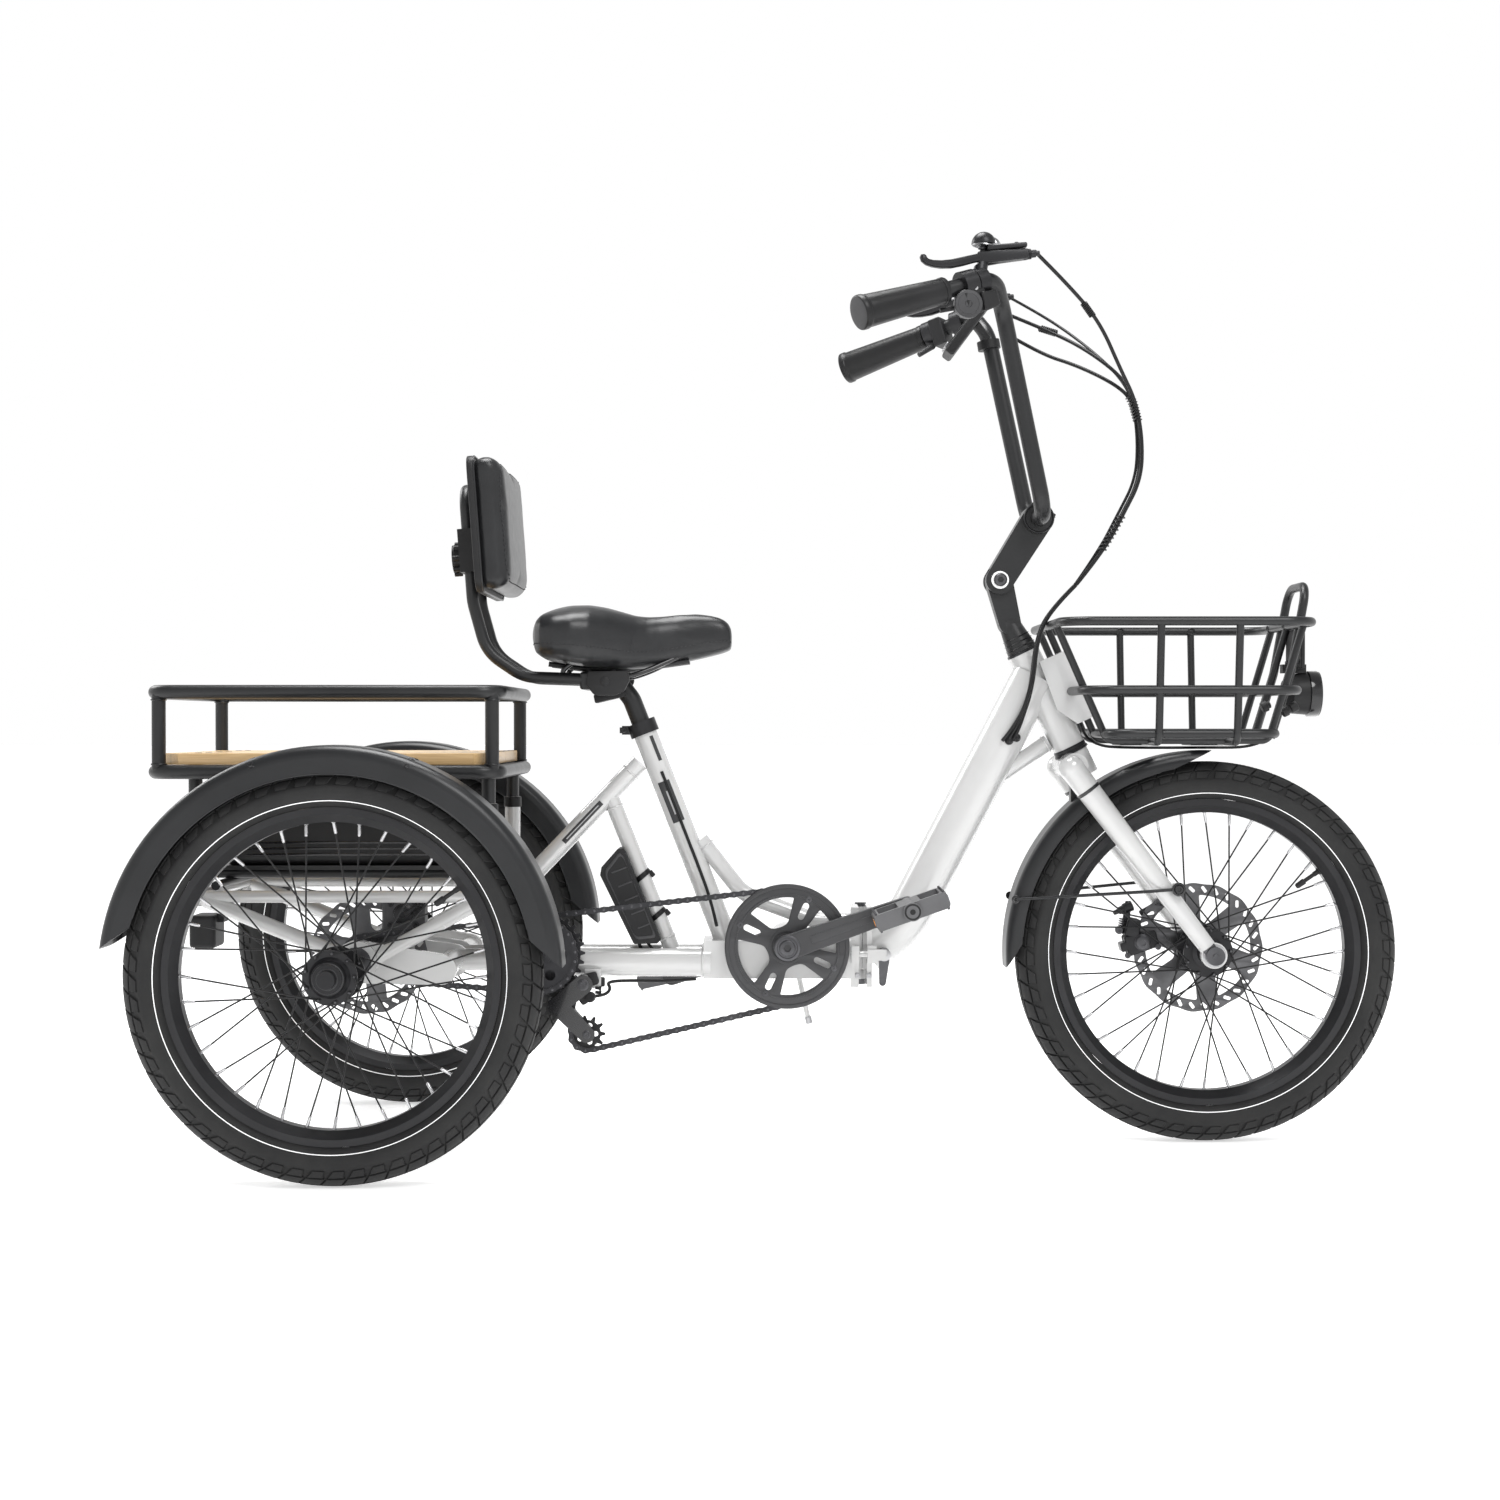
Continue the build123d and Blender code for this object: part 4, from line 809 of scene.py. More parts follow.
def make_chain_guard():
    """The guard disc: four rounded windows between four slotted arms, with a raised lip."""
    loops = [circle(84, sides=160)]
    for middle in (20, 110, 200, 290):
        outer = [polar((0, 0), 66, middle + a) for a in range(-28, 29, 4)]
        inner = [polar((0, 0), 31, middle + 22), polar((0, 0), 27, middle), polar((0, 0), 31, middle - 22)]
        loops.append(rounded(outer + inner, 7, 4))
        slot_at = middle + 45
        slot = []
        for middle_r, first in ((60, -90), (44, 90)):
            end = polar((0, 0), middle_r, slot_at)
            slot += [polar(end, SLOT_R, slot_at + first + k * 30) for k in range(7)]
        loops.append(slot)
    at = side_plane(BB[0], -65.6, BB[1])
    plate("guard_disc", loops, 3.0, at, 1.1)
    for r, wide in ((80.5, 2.6), (69.3, 1.2), (21.5, 2.4)):
        turned_ring("guard_disc", (BB[0], -67.0, BB[1]), r, wide, 1.1)
    finish_group("guard_disc", "crankset", CASTING, "black_alloy", "chain_guard")
    for turn in (65, 155, 245, 335):
        x, z = polar(BB, 69.5, turn)
        bolt("guard_bolts", P(x, -67.0, z), (0, -1, 0), 3.0, 2.2)
        turned("guard_bolts", P(x, -64, z), (0, 1, 0), [(0, 3), (4.0, 3), (4.3, 2.7)], 20)
    finish_group("guard_bolts", "crankset", STEEL, "steel")


def turned_ring(group, centre, r, wide, proud, sides=120):
    """A rounded raised ring on a flat face that looks to the right."""
    verts, faces = [], []
    strip = [(-wide, 0.3), (-wide * 0.8, -proud * 0.8), (-wide * 0.4, -proud), (wide * 0.4, -proud),
             (wide * 0.8, -proud * 0.8), (wide, 0.3)]
    for k in range(sides):
        for dr, dy in strip:
            x, z = polar((centre[0], centre[2]), r + dr, 360 * k / sides)
            verts.append(P(x, centre[1] + dy, z))
    n = len(strip)
    for k in range(sides):
        m = (k + 1) % sides
        faces += [(k * n + j, m * n + j, m * n + (j + 1) % n, k * n + (j + 1) % n) for j in range(n)]
    put(group, verts, faces)


def make_crankset():
    make_chain_guard()
    dress(CASTING, "cranks")
    dress(CHAIN, "chainring")
    repaint("cranks", STEEL, lambda x, y, z: abs(y) > 91.5)
    for side, turn in ((-1, CRANK_ANGLE), (1, CRANK_ANGLE + 180)):
        at = P(BB[0], side * 91, BB[1])
        turned("crank_caps", at, (0, side, 0), [
            (-0.5, 17.4), (0.8, 17.2), (1.6, 15.6), (1.6, 13.8), (0.2, 13.2), (0.2, 10.8), (2.4, 10.2),
            (3.0, 9.2), (3.0, 5.2, 6), (-2.0, 5.0, 6)], 48)
        end = polar(BB, 170, turn)
        turned("crank_caps", P(end[0], side * 91, end[1]), (0, side, 0), [
            (-0.5, 8.6), (0.6, 8.6), (1.0, 8.0), (1.0, 7.6, 6), (4.6, 7.6, 6), (5.0, 7.0), (5.2, 5.2)], 36)
        near, far = polar(BB, 34, turn), polar(BB, 150, turn)
        a, b = P(near[0], side * 91.2, near[1]), P(far[0], side * 91.2, far[1])
        block("crank_ribs", ((b - a).length / MM, 1.2, 11), pose((a + b) / 2, b - a, Vector((0, 0, 1))),
              0.5, 0.7)
    finish_group("crank_caps", "crankset", STEEL, "steel")
    finish_group("crank_ribs", "crankset", CASTING, "black_alloy")
    for k in range(5):
        x, z = polar(BB, 69.5, 72 * k + 10)
        turned("chainring_bolts", P(x, CHAIN_Y + 0.9, z), (0, 1, 0),
               [(0, 3), (1.2, 3), (1.5, 2.6), (1.5, 1.6, 6), (0.5, 1.4, 6)], 20)
    finish_group("chainring_bolts", "crankset", STEEL, "steel")


def make_pedals():
    for name, side, turn, tilt in (("right", -1, CRANK_ANGLE, CRANK_ANGLE),
                                   ("left", 1, CRANK_ANGLE + 180, 12)):
        end = polar(BB, 170, turn)
        centre = P(end[0], side * 141.5, end[1])
        frame_x = Vector((math.cos(math.radians(tilt)), 0, math.sin(math.radians(tilt))))
        up = Vector((-frame_x.z, 0, frame_x.x))
        body = f"{name}_pedal"
        dress(PEDAL, body)
        for fore in (-1, 1):
            at = centre + frame_x * fore * 50.1 * MM
            block(f"{name}_reflectors", (1.8, 40, 9), pose(at, frame_x * fore, up), 0.7)
            block(f"{name}_pedal_bezels", (1.2, 48, 14),
                  pose(at - frame_x * fore * 0.6 * MM, frame_x * fore, up), 0.5)
            for top in (-1, 1):
                for k in range(6):
                    spot = centre + frame_x * fore * 46 * MM + Vector((0, (k - 2.5) * 15 * MM,
                                                                       0)) + up * top * 10.5 * MM
                    turned(f"{name}_pedal_pins", spot, up * top,
                           [(0, 2.6), (0.4, 2.6), (0.5, 1.6), (2.6, 1.5), (2.9, 1.0)], 12)
        turned(f"{name}_pedal_cap", centre + Vector((0, side * 49.0 * MM, 0)), (0, side, 0), [
            (-1.0, 11.0), (0.2, 11.2), (0.9, 10.2), (0.9, 8.6), (0.3, 8.2), (0.3, 4.0, 6), (1.0, 3.6)], 40)
        finish_group(f"{name}_reflectors", body, AMBER, "black_plastic")
        finish_group(f"{name}_pedal_bezels", body, PLASTIC, "black_plastic")
        finish_group(f"{name}_pedal_pins", body, STEEL, "steel")
        finish_group(f"{name}_pedal_cap", body, PLASTIC, "black_plastic")


def chain_route(wheels):
    """The closed line that a chain follows clockwise round its wheels, as short steps."""
    leave = []
    for i, (a, ra) in enumerate(wheels):
        b, rb = wheels[(i + 1) % len(wheels)]
        heading = math.atan2(b[1] - a[1], b[0] - a[0])
        leave.append(heading + math.asin((rb - ra) / math.dist(a, b)) + math.pi / 2)
    line = []
    for i, (centre, r) in enumerate(wheels):
        a0, a1 = leave[i - 1], leave[i]
        turn = (a0 - a1) % (2 * math.pi) if r > 0 else -((a1 - a0) % (2 * math.pi))
        for k in range(25):
            a = a0 - turn * k / 24
            line.append((centre[0] + r * math.cos(a), centre[1] + r * math.sin(a)))
    return line + line[:1]


def make_chains():
    pitch_radius = lambda teeth: CHAIN_PITCH / (2 * math.sin(math.pi / teeth))
    pedal_chain = [(BB, pitch_radius(38)), (TENSION, pitch_radius(11)), (GUIDE, -pitch_radius(10)),
                   (JACK, pitch_radius(24))]
    final_chain = [(JACK, pitch_radius(24)), ((0, WHEEL_R), pitch_radius(14))]
    for wheels, y in ((pedal_chain, CHAIN_Y), (final_chain, FINAL_Y)):
        line = chain_route(wheels)
        steps = [0.0]
        for p, q in zip(line, line[1:]):
            steps.append(steps[-1] + math.dist(p, q))
        count = 2 * round(steps[-1] / CHAIN_PITCH / 2)
        pins, j = [], 0
        for k in range(count + 1):
            want = steps[-1] * k / count
            while j < len(steps) - 2 and steps[j + 1] < want:
                j += 1
            t = (want - steps[j]) / max(steps[j + 1] - steps[j], 1e-9)
            pins.append([line[j][m] + t * (line[j + 1][m] - line[j][m]) for m in (0, 1)])
        for k, (p, q) in enumerate(zip(pins, pins[1:])):
            heading = math.degrees(math.atan2(q[1] - p[1], q[0] - p[0]))
            length = math.dist(p, q)
            outline = [polar((0, 0), 4.1, 90 + 30 * m) for m in range(7)] + [(length / 2, -3.0)]
            outline += [polar((length, 0), 4.1, -90 + 30 * m) for m in range(7)] + [(length / 2, 3.0)]
            spot = side_plane(p[0], y, p[1]) @ Matrix.Rotation(math.radians(heading), 4, "Z")
            for side in (-1, 1):
                shift = side * (2.9 if k % 2 else 1.95) * MM
                bm = bmesh.new()
                for level in (-0.42, 0.42):
                    ring = [bm.verts.new((c[0] * MM, c[1] * MM, shift + level * MM)) for c in outline]
                    bm.faces.new(ring if level > 0 else ring[::-1])
                low, high = bm.verts[:16], bm.verts[16:]
                for m in range(16):
                    n = (m + 1) % 16
                    bm.faces.new((low[m], low[n], high[n], high[m]))
                bmesh.ops.bevel(bm, geom=[e for e in bm.edges if len(e.link_faces) == 2 and
                                          e.calc_face_angle(0) > 1.2], offset=0.12 * MM, segments=1,
                                          affect="EDGES")
                put_bmesh("chain_links", bm, spot)
            turned("chain_pins", P(p[0], y - 3.7, p[1]), (0, 1, 0),
                   [(0, 1.3), (0.3, 1.8), (7.1, 1.8), (7.4, 1.3)], 10)
            turned("chain_pins", P(p[0], y - 1.4, p[1]), (0, 1, 0),
                   [(0, 3.6), (0.2, 3.8), (2.6, 3.8), (2.8, 3.6)], 14)
    finish_group("chain_links", "rear_frame", CHAIN, "steel", "chains")
    finish_group("chain_pins", "rear_frame", STEEL, "steel")


def make_derailleur():
    dress(GLOSS, "derailleur")
    dress(CHAIN, "freewheel_sprockets", "axle_sprocket", "jackshaft")
    dress(PLASTIC, "upper_pulley", "lower_pulley")
    for point, y, r in ((GUIDE, -69, 5), (TENSION, -69, 5), ((290, 222), -82, 7)):
        bolt("derailleur_bolts", P(point[0], y, point[1]), (0, -1, 0), r * 0.8, 2.6)
    finish_group("derailleur_bolts", "rear_frame", STEEL, "steel")
    block("derailleur_parts", (40, 16, 22), pose(P(283, -60, 212), (0.55, 0, -0.84), (0, -1, 0)), 4, 0.8)
    block("derailleur_parts", (26, 20, 14), pose(P(296, -58, 226), (1, 0, 0.3), (0, -1, 0)), 4, 0.85)
    block("derailleur_parts", (34, 8, 16), pose(P(300, -45, 222), (1, 0, 0), (0, 0, 1)), 2.5, 0.8)
    turned("derailleur_parts", P(300, -72, 205), (-0.2, -1, 0), [(0, 6), (1, 7), (7, 7), (8, 6), (8.4, 3)],
           24)
    for z in (216, 210):
        turned("derailleur_parts", P(305, -62, z), (1, 0, -0.1),
               [(0, 2.2), (5, 2.2), (5.4, 3.0), (8, 3.0), (8.4, 1.6)], 14)
    finish_group("derailleur_parts", "rear_frame", PLASTIC, "black_alloy")
    helix("derailleur_spring", [P(277, -62, 206), P(291, -62, 226)], 5.2, 0.8, 7)
    finish_group("derailleur_spring", "rear_frame", NICKEL, "steel")


# ---- rear of the frame --------------------------------------------------------------------
def make_rear_frame():
    dress(WHITE, "rear_frame")
    dress(STEEL, "bearings", "hinge_pin")
    dress(ANODISED, "seat_collar")
    seat_top, seat_foot = P(366.4, 0, 565.2), P(482.8, 0, 267.7)
    seat_line = (seat_foot - seat_top).normalized()
    for side in (-1, 1):
        patch("plain_decals", seat_top + seat_line * 0.078, seat_top + seat_line * 0.137, 16.05,
              (0, side, 0), 30)
        patch("plain_decals", seat_top + seat_line * 0.014, seat_top + seat_line * 0.05, 16.05,
              (0.5, side, 0), 9)
        stay_a, stay_b = P(362, 0, 518), P(178, 0, 325)
        line = (stay_b - stay_a).normalized()
        patch("plain_decals", stay_a + line * 0.075, stay_a + line * 0.15, 12.55, (0, side, 0), 17)
        patch("grey_decals", seat_top + seat_line * 0.092, seat_top + seat_line * 0.126, 16.4, (0, side, 0),
              6, 0.25)
        patch("grey_decals", stay_a + line * 0.081, stay_a + line * 0.144, 12.9, (0, side, 0), 3, 0.25)
    finish_group("plain_decals", "rear_frame", DECAL, "black_plastic")
    finish_group("grey_decals", "rear_frame", GREY_LINE, "black_plastic")
    for a, b, r in (((178, 0, 325), (362, 0, 518), 12.5), ((362, 0, 518), (178, 0, 325), 12.5),
                    ((321, 0, 473), (406, 0, 262), 11), ((406, 0, 262), (321, 0, 473), 11)):
        a, b = P(*a), P(*b)
        bead("weld_beads", a + (b - a).normalized() * 0.0175, b - a, r + 0.2, 1.3)
    for y in (-28, 28):
        bead("weld_beads", P(448, y, 247), (1, 0, 0), 19.2, 1.5)
        bead("weld_beads", P(256, y, 247), (1, 0, 0), 19.2, 1.5)
    for y in (-150, 150):
        bead("weld_beads", P(-26, y, 270), (-0.93, 0, 0.37), 10.3, 1.2)
        bead("weld_beads", P(24, y, 266), (0.88, 0, 0.48), 10.3, 1.2)
        for x in (-211, 172):
            bead("weld_beads", P(x, y, 355), (0, 0, 1), 11.2, 1.2)
    bead("weld_beads", P(655, 0, 300), (1, 0, 0), 11.3, 1.2)
    bead("weld_beads", P(452, 0, 404), (0.62, 0, -0.78), 11.3, 1.2)
    finish_group("weld_beads", "rear_frame", WHITE, "white_frame")
    for x in (-211, 172):
        for side in (-1, 1):
            turned("leg_clamps", P(x, side * 150, 452), (0, 0, 1), [
                (0, 11.6), (0.6, 12.6), (14, 12.6), (14.8, 11.4)], 32)
            bolt("leg_clamps", P(x, side * 162, 459), (0, side, 0), 3.2, 3.4)
    finish_group("leg_clamps", "rear_frame", PLASTIC, "black_plastic")
    bolt("seat_collar_bolt", P(341, -9.2, 562), (0, -1, 0), 3.2, 3.6)
    turned("seat_collar_bolt", P(341, 9.0, 562), (0, 1, 0), [(0, 5), (3, 5), (4, 4)], 20)
    finish_group("seat_collar_bolt", "rear_frame", ANODISED, "black_alloy")
    rod_at = P(574.8, 0, 247.5)
    turned("stand_foot", P(594.4, 0, 160), (-0.217, 0, 0.976), [
        (-0.2, 3.2), (0.6, 4.6), (9, 4.6), (10, 3.8)], 20)
    turned("stand_foot", rod_at + Vector((0.217, 0, -0.976)) * 0.004, (0.217, 0, -0.976), [
        (0, 6.2), (1, 6.6), (7, 6.6), (8, 5.2)], 24)
    finish_group("stand_foot", "rear_frame", ALLOY, "steel")


def make_rack():
    dress(BLACK, "rack_frame", "seat_frame", "seatpost")
    deck_low, deck_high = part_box("rack_deck")
    boards, gap = 6, 1.2
    x0, x1, y0, y1 = -250, 178, -177, 177
    z0, z1 = deck_low.z / MM, deck_high.z / MM
    wide = (y1 - y0 - gap * (boards - 1)) / boards
    for k in range(boards):
        near, far = y0 + k * (wide + gap), y0 + k * (wide + gap) + wide
        corner = 23
        if k == 0:
            outline = [(x0 + corner, near), (x1 - corner, near), (x1, near + corner), (x1, far), (x0, far),
                       (x0, near + corner)]
        elif k == boards - 1:
            outline = [(x0, near), (x1, near), (x1, far - corner), (x1 - corner, far), (x0 + corner, far),
                       (x0, far - corner)]
        else:
            outline = [(x0, near), (x1, near), (x1, far), (x0, far)]
        plate("deck_boards", [outline], z1 - z0, Matrix.Translation(P(0, 0, (z0 + z1) / 2)), 1.2)
    for x in (-211, 172):
        for k in range(boards):
            y = y0 + (k + 0.5) * (wide + gap)
            turned("deck_screws", P(x * 0.985, y, z1 - 0.2), (0, 0, 1), [
                (0, 4.6), (0.35, 4.6), (0.7, 4.0), (0.7, 2.2, 6), (0.1, 2.0, 6)], 24)
    finish_group("deck_boards", "rear_frame", BAMBOO, "bamboo", "rack_deck")
    finish_group("deck_screws", "rear_frame", STEEL, "steel")

    inset = 28 * (1 - math.sin(math.radians(45)))
    for px in (-260 + inset, 188 - inset):
        for py in (-186 + inset, 186 - inset):
            for z, up in ((518.2, 1), (602.3, -1)):
                bead("rack_welds", P(px, py, z), (0, 0, up), 9.2, 1.3)
    for px in (-211, -90, 40, 172):
        for side in (-1, 1):
            bead("rack_welds", P(px, side * 176.4, 508.5), (0, 1, 0), 8.2, 1.1)
    finish_group("rack_welds", "rear_frame", BLACK, "black_frame")

    dress(PLASTIC, "battery_case", "controller_case")
    for x in (-186, 146):
        outline = rounded([(-76.2, -36), (76.2, -36), (76.2, 37.4), (-76.2, 37.4)], 20)
        turn = Matrix.Translation(P(x, 0, 418)) @ Matrix(((0, 0, 1, 0), (1, 0, 0, 0), (0, 1, 0, 0),
                                                          (0, 0, 0, 1)))
        plate("battery_bands", [outline, rounded([(-73, -33), (73, -33), (73, 34), (-73, 34)], 18)], 7,
              turn, 1.0)
    for side in (-1, 1):
        for z in (396, 404, 412):
            block("battery_bands", (286, 1.6, 3.2), pose(P(-20, side * 75.2, z), (1, 0, 0), (0, 0, 1)), 0.7)
    block("battery_bands", (4, 70, 18), pose(P(-191, 0, 428), (1, 0, 0), (0, 0, 1)), 1.4)
    turned("battery_lock", P(-189, 48, 404), (-1, 0, 0),
           [(0, 9), (1.6, 9), (2.2, 8.2), (2.2, 6.6), (1.4, 6.2), (1.4, 1.0)], 32)
    finish_group("battery_bands", "rear_frame", GLOSS, "black_plastic")
    finish_group("battery_lock", "rear_frame", NICKEL, "steel")

    strut_a, strut_b = P(321, 0, 473), P(406, 0, 262)
    strut = (strut_b - strut_a).normalized()
    for along in (0.119, 0.176):
        at = strut_a + strut * along
        lean = (strut + Vector((0.25, 0, 0.2))).normalized()
        u, v = basis(lean)
        verts, faces = [], []
        strip = [(11.3, -3.6), (13.1, -3.3), (13.4, 0), (13.1, 3.3), (11.3, 3.6)]
        for k in range(48):
            t = 2 * math.pi * k / 48
            for r, h in strip:
                verts.append(at + (u * math.cos(t) + v * math.sin(t)) * r * MM + lean * h * MM)
        for k in range(48):
            m = (k + 1) % 48
            faces += [(k * 5 + j, m * 5 + j, m * 5 + (j + 1) % 5, k * 5 + (j + 1) % 5) for j in range(5)]
        put("controller_straps", verts, faces)
        block("controller_straps", (9, 9, 6), pose(at + Vector((0.013, 0, 0.003)), lean, (1, 0, 0)), 1.2)
    finish_group("controller_straps", "rear_frame", CABLE, "cable")
    for side in (-1, 1):
        outline = rounded([(316, 372), (335, 396), (341, 391), (386, 280), (358, 277), (316, 364)], 6)
        centre = (348, 336)
        inner = [(centre[0] + (x - centre[0]) * 0.9, centre[1] + (z - centre[1]) * 0.93) for x,
                 z in outline]
        plate("controller_ribs", [outline, inner], 1.2, side_plane(0, side * 25.2, 0), 0.5)
        for k in range(5):
            x, z = 335 + k * 8.4, 372 - k * 19
            block("controller_ribs", (22 - k, 1.0, 2.2),
                  pose(P(x, side * 25.3, z), (0.93, 0, 0.37), (0, 0, 1)), 0.5)
    finish_group("controller_ribs", "rear_frame", CASTING, "black_plastic")
    wire("controller_leads", [P(360, -8, 274), P(364, -9, 262), P(374, -14, 250), P(380, -20, 232)], 2.4)
    wire("controller_leads", [P(370, 4, 274), P(378, 4, 262), P(392, 6, 250), P(398, 10, 232)], 2.0)
    finish_group("controller_leads", "rear_frame", CABLE, "cable")

    dress(PLASTIC, "tail_light")
    lamp_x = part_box("tail_light")[0].x / MM - AXLE_X / MM
    outline = rounded([(-25, -18), (25, -18), (25, 18), (-25, 18)], 7)
    turn = Matrix.Translation(P(lamp_x + 1.0, 0, 287.5)) @ Matrix(((0, 0, 1, 0), (1, 0, 0, 0), (0, 1, 0, 0),
                                                                   (0, 0, 0, 1)))
    plate("tail_lens", [outline], 2.6, turn, 1.0)
    finish_group("tail_lens", "rear_frame", RED, "black_plastic")


def make_fenders():
    dress(FENDER, "rear_fenders", "front_fender")
    for side in (-1, 1):
        for x in (-90, 92):
            angle = math.degrees(math.atan2(508.5 - WHEEL_R, x))
            for y, lift in ((side * (HALF_TRACK + 16), 0.6), (side * (HALF_TRACK - 16), 0.6)):
                px, pz = polar((0, WHEEL_R), 285 - lift, angle)
                bolt("fender_bolts", P(px, y, pz),
                     (math.cos(math.radians(angle)), 0, math.sin(math.radians(angle))), 3.6, 0.6)
            px, pz = polar((0, WHEEL_R), 276, angle)
            for edge in (-1, 1):
                slope = (0.7 * math.cos(math.radians(angle)), 0.7 * edge,
                         0.7 * math.sin(math.radians(angle)))
                bolt("fender_bolts", P(px, side * HALF_TRACK + edge * 34.6, pz), slope, 3.2, 2.6)
        for edge in (-1, 1):
            route = []
            for k in range(60):
                a = 14 + k * (163 - 14) / 59
                px, pz = polar((0, WHEEL_R), 250.4, a)
                route.append(P(px, side * HALF_TRACK + edge * 36.8, pz))
            wire("fender_edges", route, 1.5, steps=2, sides=2)
    finish_group("fender_bolts", "rear_frame", GLOSS, "steel")
    finish_group("fender_edges", "rear_frame", FENDER, "black_frame")
    for edge in (-1, 1):
        route = []
        for k in range(40):
            a = 105 + k * (175 - 105) / 39
            px, pz = polar((WHEELBASE, WHEEL_R), 254.4, a)
            route.append(P(px, edge * 35.6, pz))
        wire("front_fender_edges", route, 1.4, steps=2, sides=2)
        bolt("front_fender_bolts", P(873, edge * 37.2, 333), (0, edge, 0), 4.0, 3.4)
        turned("front_fender_bolts", P(1085, edge * 83.8, 350), (0, edge, 0), [
            (0, 9), (0.8, 9.4), (2.4, 9.2), (2.8, 8), (2.8, 6.6), (2.2, 6.2), (4.2, 5.8), (5.4, 5),
            (5.4, 2.8, 6), (3.4, 2.6, 6)], 40)
    finish_group("front_fender_edges", "steering", FENDER, "black_frame")
    finish_group("front_fender_bolts", "steering", GLOSS, "steel")


def make_brakes():
    dress(CASTING, "rear_caliper", "front_caliper")
    for x, z in ((32, 302), (66, 302), (32, 330), (66, 330)):
        bolt("rear_caliper_parts", P(x, -76, z), (0, -1, 0), 3.0, 3.0)
    turned("rear_caliper_parts", P(49, -76, 316), (0, -1, 0), [
        (-0.5, 14), (1.5, 14), (2.5, 12.5), (5, 12), (6, 10.5), (6, 5, 6), (3, 4.6, 6)], 32)
    block("rear_caliper_parts", (34, 7, 9), pose(P(66, -80, 326), (0.8, 0, 0.6), (0, -1, 0)), 2, 0.6)
    helix("rear_caliper_parts", [P(64, -82, 316), P(78, -82, 334)], 4.2, 0.8, 6)
    finish_group("rear_caliper_parts", "rear_frame", ANODISED, "black_alloy")
    face = Vector((0, 1, 0))
    for y, deep in ((39.5, 10.5), (56.5, 11)):
        block("front_caliper_body", (46, 30, deep), pose(P(1056, y, 268), (1, 0, 0.28), face), 4.5, 0.8)
        block("front_caliper_body", (26, 22, deep), pose(P(1044, y, 288), (0.2, 0, 1), face), 3.6, 0.8)
    block("front_caliper_body", (15, 13, 27), pose(P(1034, 48, 262), (1, 0, 0.28), face), 3)
    block("front_caliper_body", (40, 11, 9), pose(P(1038, 57, 304), (0.12, 0, 1), face), 2.6, 0.75)
    block("front_caliper_body", (26, 10, 9), pose(P(1068, 57, 312), (1, 0, 0.62), face), 2.6, 0.8)
    turned("front_caliper_body", P(1046, 56, 318), (-1, 0, -0.42), [
        (0, 6), (1, 7.4), (13, 7.2), (14, 5.6), (21, 5.2), (22, 3.6), (28, 3.2), (29, 2.2)], 24)
    finish_group("front_caliper_body", "steering", ANODISED, "black_alloy", "front_caliper")
    turned("front_caliper_parts", P(1057, 34.4, 268), (0, -1, 0), [
        (-0.5, 11.5), (1.2, 11.5), (2.2, 10), (3.8, 9.6), (4.4, 8.4), (4.4, 4.2, 6), (3, 4.0, 6)], 32)
    turned("front_caliper_parts", P(1026, 52, 284), (0, -1, 0),
           [(0, 5.4), (8, 5.4), (8.6, 4.6), (8.6, 2.6), (6, 2.4)], 24)
    for x, z in ((1036, 250), (1078, 262), (1082, 318)):
        bolt("front_caliper_parts", P(x, 51.5 if z > 300 else 34, z), (0, -1, 0), 3.0, 2.6)
    helix("front_caliper_parts", [P(1031, 50, 300), P(1028, 50, 282)], 4.4, 0.8, 6)
    finish_group("front_caliper_parts", "steering", STEEL, "black_alloy")


# ---- seat -------------------------------------------------------------------------------
SADDLE = [
    (222, 66, 664, 707), (225, 86, 662, 715.5), (233, 103, 659, 721.5), (250, 112, 656, 726.5),
    (274, 114, 652, 730),
    (298, 107, 649, 730.5), (320, 92, 647, 727), (340, 75, 646, 721.5), (358, 60, 646, 716.5),
    (374, 50, 647.5, 715),
    (392, 41, 650, 716), (414, 34, 655, 718.5), (438, 30.5, 660, 720.5), (460, 28.5, 665, 720.5),
    (474, 27, 668.5, 718), (483, 24.5, 671, 713), (488, 21.5, 673, 705), (489.5, 17, 674.5, 697)]


def saddle_shell(scale=1.0, drop=0.0):
    """Sections across the saddle: domed above, tucked in below, with a shallow channel along the middle."""
    around = 40
    verts, faces = [], []
    for x, half, low, high in SADDLE:
        mid = low + (high - low) * 0.42
        for k in range(around):
            t = 2 * math.pi * k / around
            c, s = math.cos(t), math.sin(t)
            y = half * scale * math.copysign(abs(c) ** 0.72, c)
            tall = (high - mid) if s > 0 else (mid - low)
            z = mid + tall * scale * math.copysign(abs(s) ** (0.62 if s > 0 else 0.3), s)
            if s > 0:
                z -= 2.6 * math.exp(-(y / 9) ** 2)
            else:
                y *= 1 - 0.05 * abs(s)
            verts.append(P(x, y, z - drop))
    for i in range(len(SADDLE) - 1):
        for k in range(around):
            n = (k + 1) % around
            faces.append((i * around + k, i * around + n, (i + 1) * around + n, (i + 1) * around + k))
    faces.append(tuple(reversed(range(around))))
    faces.append(tuple(range((len(SADDLE) - 1) * around, len(SADDLE) * around)))
    return verts, faces


